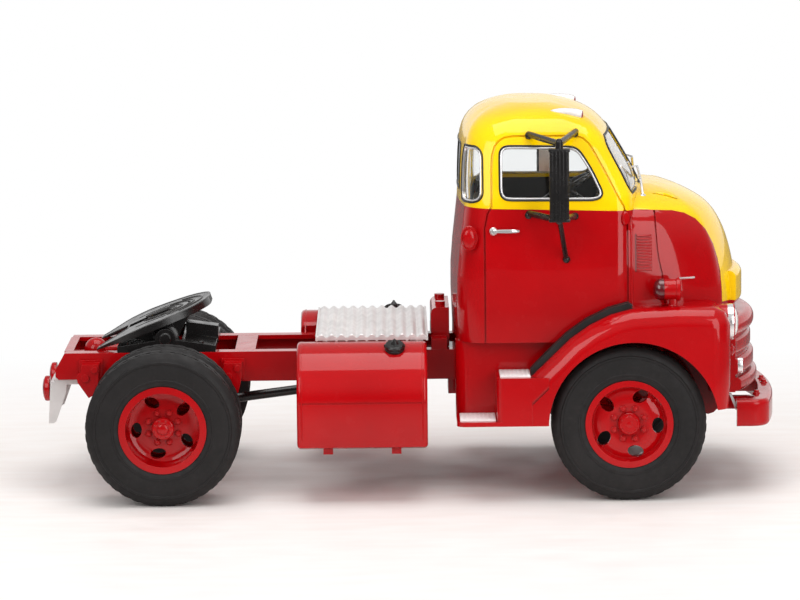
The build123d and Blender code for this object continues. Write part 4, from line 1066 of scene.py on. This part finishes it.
def seen_directly(tree):
    """1 for camera, glossy and transmission rays, which see the floor's glow."""
    path = tree.nodes.new("ShaderNodeLightPath")
    total = path.outputs["Is Camera Ray"]
    for name in ("Is Glossy Ray", "Is Transmission Ray"):
        node = tree.nodes.new("ShaderNodeMath")
        node.operation = "MAXIMUM"
        tree.links.new(total, node.inputs[0])
        tree.links.new(path.outputs[name], node.inputs[1])
        total = node.outputs[0]
    return total


def set_up_world():
    """Plain soft light; the camera and glass see white, and gloss sees a grey room, pale behind."""
    world = bpy.data.worlds.new("studio")
    bpy.context.scene.world = world
    world.use_nodes = True
    tree = world.node_tree
    tree.nodes.clear()

    def background(strength, colour=(1.0, 1.0, 1.0, 1)):
        node = tree.nodes.new("ShaderNodeBackground")
        node.inputs["Color"].default_value = colour
        node.inputs["Strength"].default_value = strength
        return node.outputs[0]

    def mixed(factor, first, second):
        node = tree.nodes.new("ShaderNodeMixShader")
        tree.links.new(factor, node.inputs[0])
        tree.links.new(first, node.inputs[1])
        tree.links.new(second, node.inputs[2])
        return node.outputs[0]

    path = tree.nodes.new("ShaderNodeLightPath")
    coords = tree.nodes.new("ShaderNodeTexCoord")
    split = tree.nodes.new("ShaderNodeSeparateXYZ")
    tree.links.new(coords.outputs["Generated"], split.inputs[0])
    height = tree.nodes.new("ShaderNodeMapRange")
    height.interpolation_type = "SMOOTHSTEP"
    for index, value in enumerate((0.05, 0.55, 0.0, 1.0)):
        height.inputs[index + 1].default_value = value
    tree.links.new(split.outputs["Z"], height.inputs["Value"])
    behind = tree.nodes.new("ShaderNodeMapRange")
    behind.interpolation_type = "SMOOTHSTEP"
    for index, value in enumerate((0.0, 0.7, 0.0, 1.0)):
        behind.inputs[index + 1].default_value = value
    tree.links.new(split.outputs["Y"], behind.inputs["Value"])
    low = mixed(behind.outputs["Result"], background(0.07), background(0.95))
    room = mixed(height.outputs["Result"], low, background(0.5))
    light = mixed(path.outputs["Is Glossy Ray"], background(0.5, (1.0, 0.99, 0.98, 1)), room)
    seen = mixed(path.outputs["Is Transmission Ray"], light, background(1.0))
    seen = mixed(path.outputs["Is Camera Ray"], seen, background(1.0))
    out = tree.nodes.new("ShaderNodeOutputWorld")
    tree.links.new(seen, out.inputs[0])


def set_up_floor():
    """A pale floor that keeps the shadow and brightens to the white background; gloss sees it dimmer."""
    mesh = bpy.data.meshes.new("floor")
    mesh.from_pydata([(-2, -2, 0), (2, -2, 0), (2, 2, 0), (-2, 2, 0)], [], [(0, 1, 2, 3)])
    floor = bpy.data.objects.new("floor", mesh)
    floor.location.z = -0.00002
    bpy.context.scene.collection.objects.link(floor)
    s = Shader("pale_floor")
    grain = s.ramp(s.noise(3.0, 5.0, (0.25, 1, 1)), 0.3, 0.7, 0.0, 1.0)
    colour = s.mix(grain, (0.86, 0.80, 0.77), (0.90, 0.86, 0.84))
    gloss = s.ramp(s.noise(8.0, 3.0), 0.3, 0.7, 0.4, 0.55)
    s.finish(colour, gloss, Specular_IOR_Level=0.25)
    glow = s.node("ShaderNodeEmission")
    glow.inputs["Color"].default_value = (1.0, 1.0, 1.0, 1)
    path = s.tree.nodes.new("ShaderNodeLightPath")
    mirrored = s.node("ShaderNodeMath")
    mirrored.operation = "SUBTRACT"
    s.link(path.outputs["Is Glossy Ray"], mirrored.inputs[0])
    s.link(path.outputs["Is Transmission Ray"], mirrored.inputs[1])
    s.link(s.ramp(mirrored.outputs[0], 0.0, 1.0, 1.0, 0.2), glow.inputs["Strength"])
    away = s.node("ShaderNodeVectorMath")
    away.operation = "LENGTH"
    squeeze = s.node("ShaderNodeMapping")
    squeeze.inputs["Scale"].default_value = (0.6, 1.0, 1.0)
    s.link(s.coords, squeeze.inputs["Vector"])
    s.link(squeeze.outputs["Vector"], away.inputs[0])
    clear_of_object = s.ramp(away.outputs["Value"], 0.045, 0.14, 0.0, 1.0)
    direct = s.node("ShaderNodeMath")
    direct.operation = "MULTIPLY"
    s.link(clear_of_object, direct.inputs[0])
    s.link(seen_directly(s.tree), direct.inputs[1])
    blend = s.node("ShaderNodeMixShader")
    s.link(direct.outputs[0], blend.inputs[0])
    s.link(s.bsdf.outputs[0], blend.inputs[1])
    s.link(glow.outputs[0], blend.inputs[2])
    s.link(blend.outputs[0], s.tree.nodes["Material Output"].inputs["Surface"])
    mesh.materials.append(s.mat)


def add_lamp(name, power, width, height, place, target):
    data = bpy.data.lights.new(name, "AREA")
    data.energy = power
    data.shape = "RECTANGLE"
    data.size, data.size_y = width, height
    lamp = bpy.data.objects.new(name, data)
    lamp.location = Vector(place)
    lamp.rotation_euler = (Vector(target) - Vector(place)).to_track_quat("-Z", "Y").to_euler()
    bpy.context.scene.collection.objects.link(lamp)


set_up_camera()
set_up_world()
set_up_floor()
add_lamp("top_softbox", 2.4, 0.5, 0.5, (0.05, -0.06, 0.6), (0.05, -0.06, 0))
add_lamp("front_left_softbox", 1.25, 0.35, 0.35, (-0.35, -0.45, 0.35), (0, 0, 0.025))
add_lamp("right_softbox", 1.9, 0.3, 0.6, (0.33, -0.49, 0.22), (0.02, 0, 0.22))
bpy.context.scene.view_settings.view_transform = "Standard"
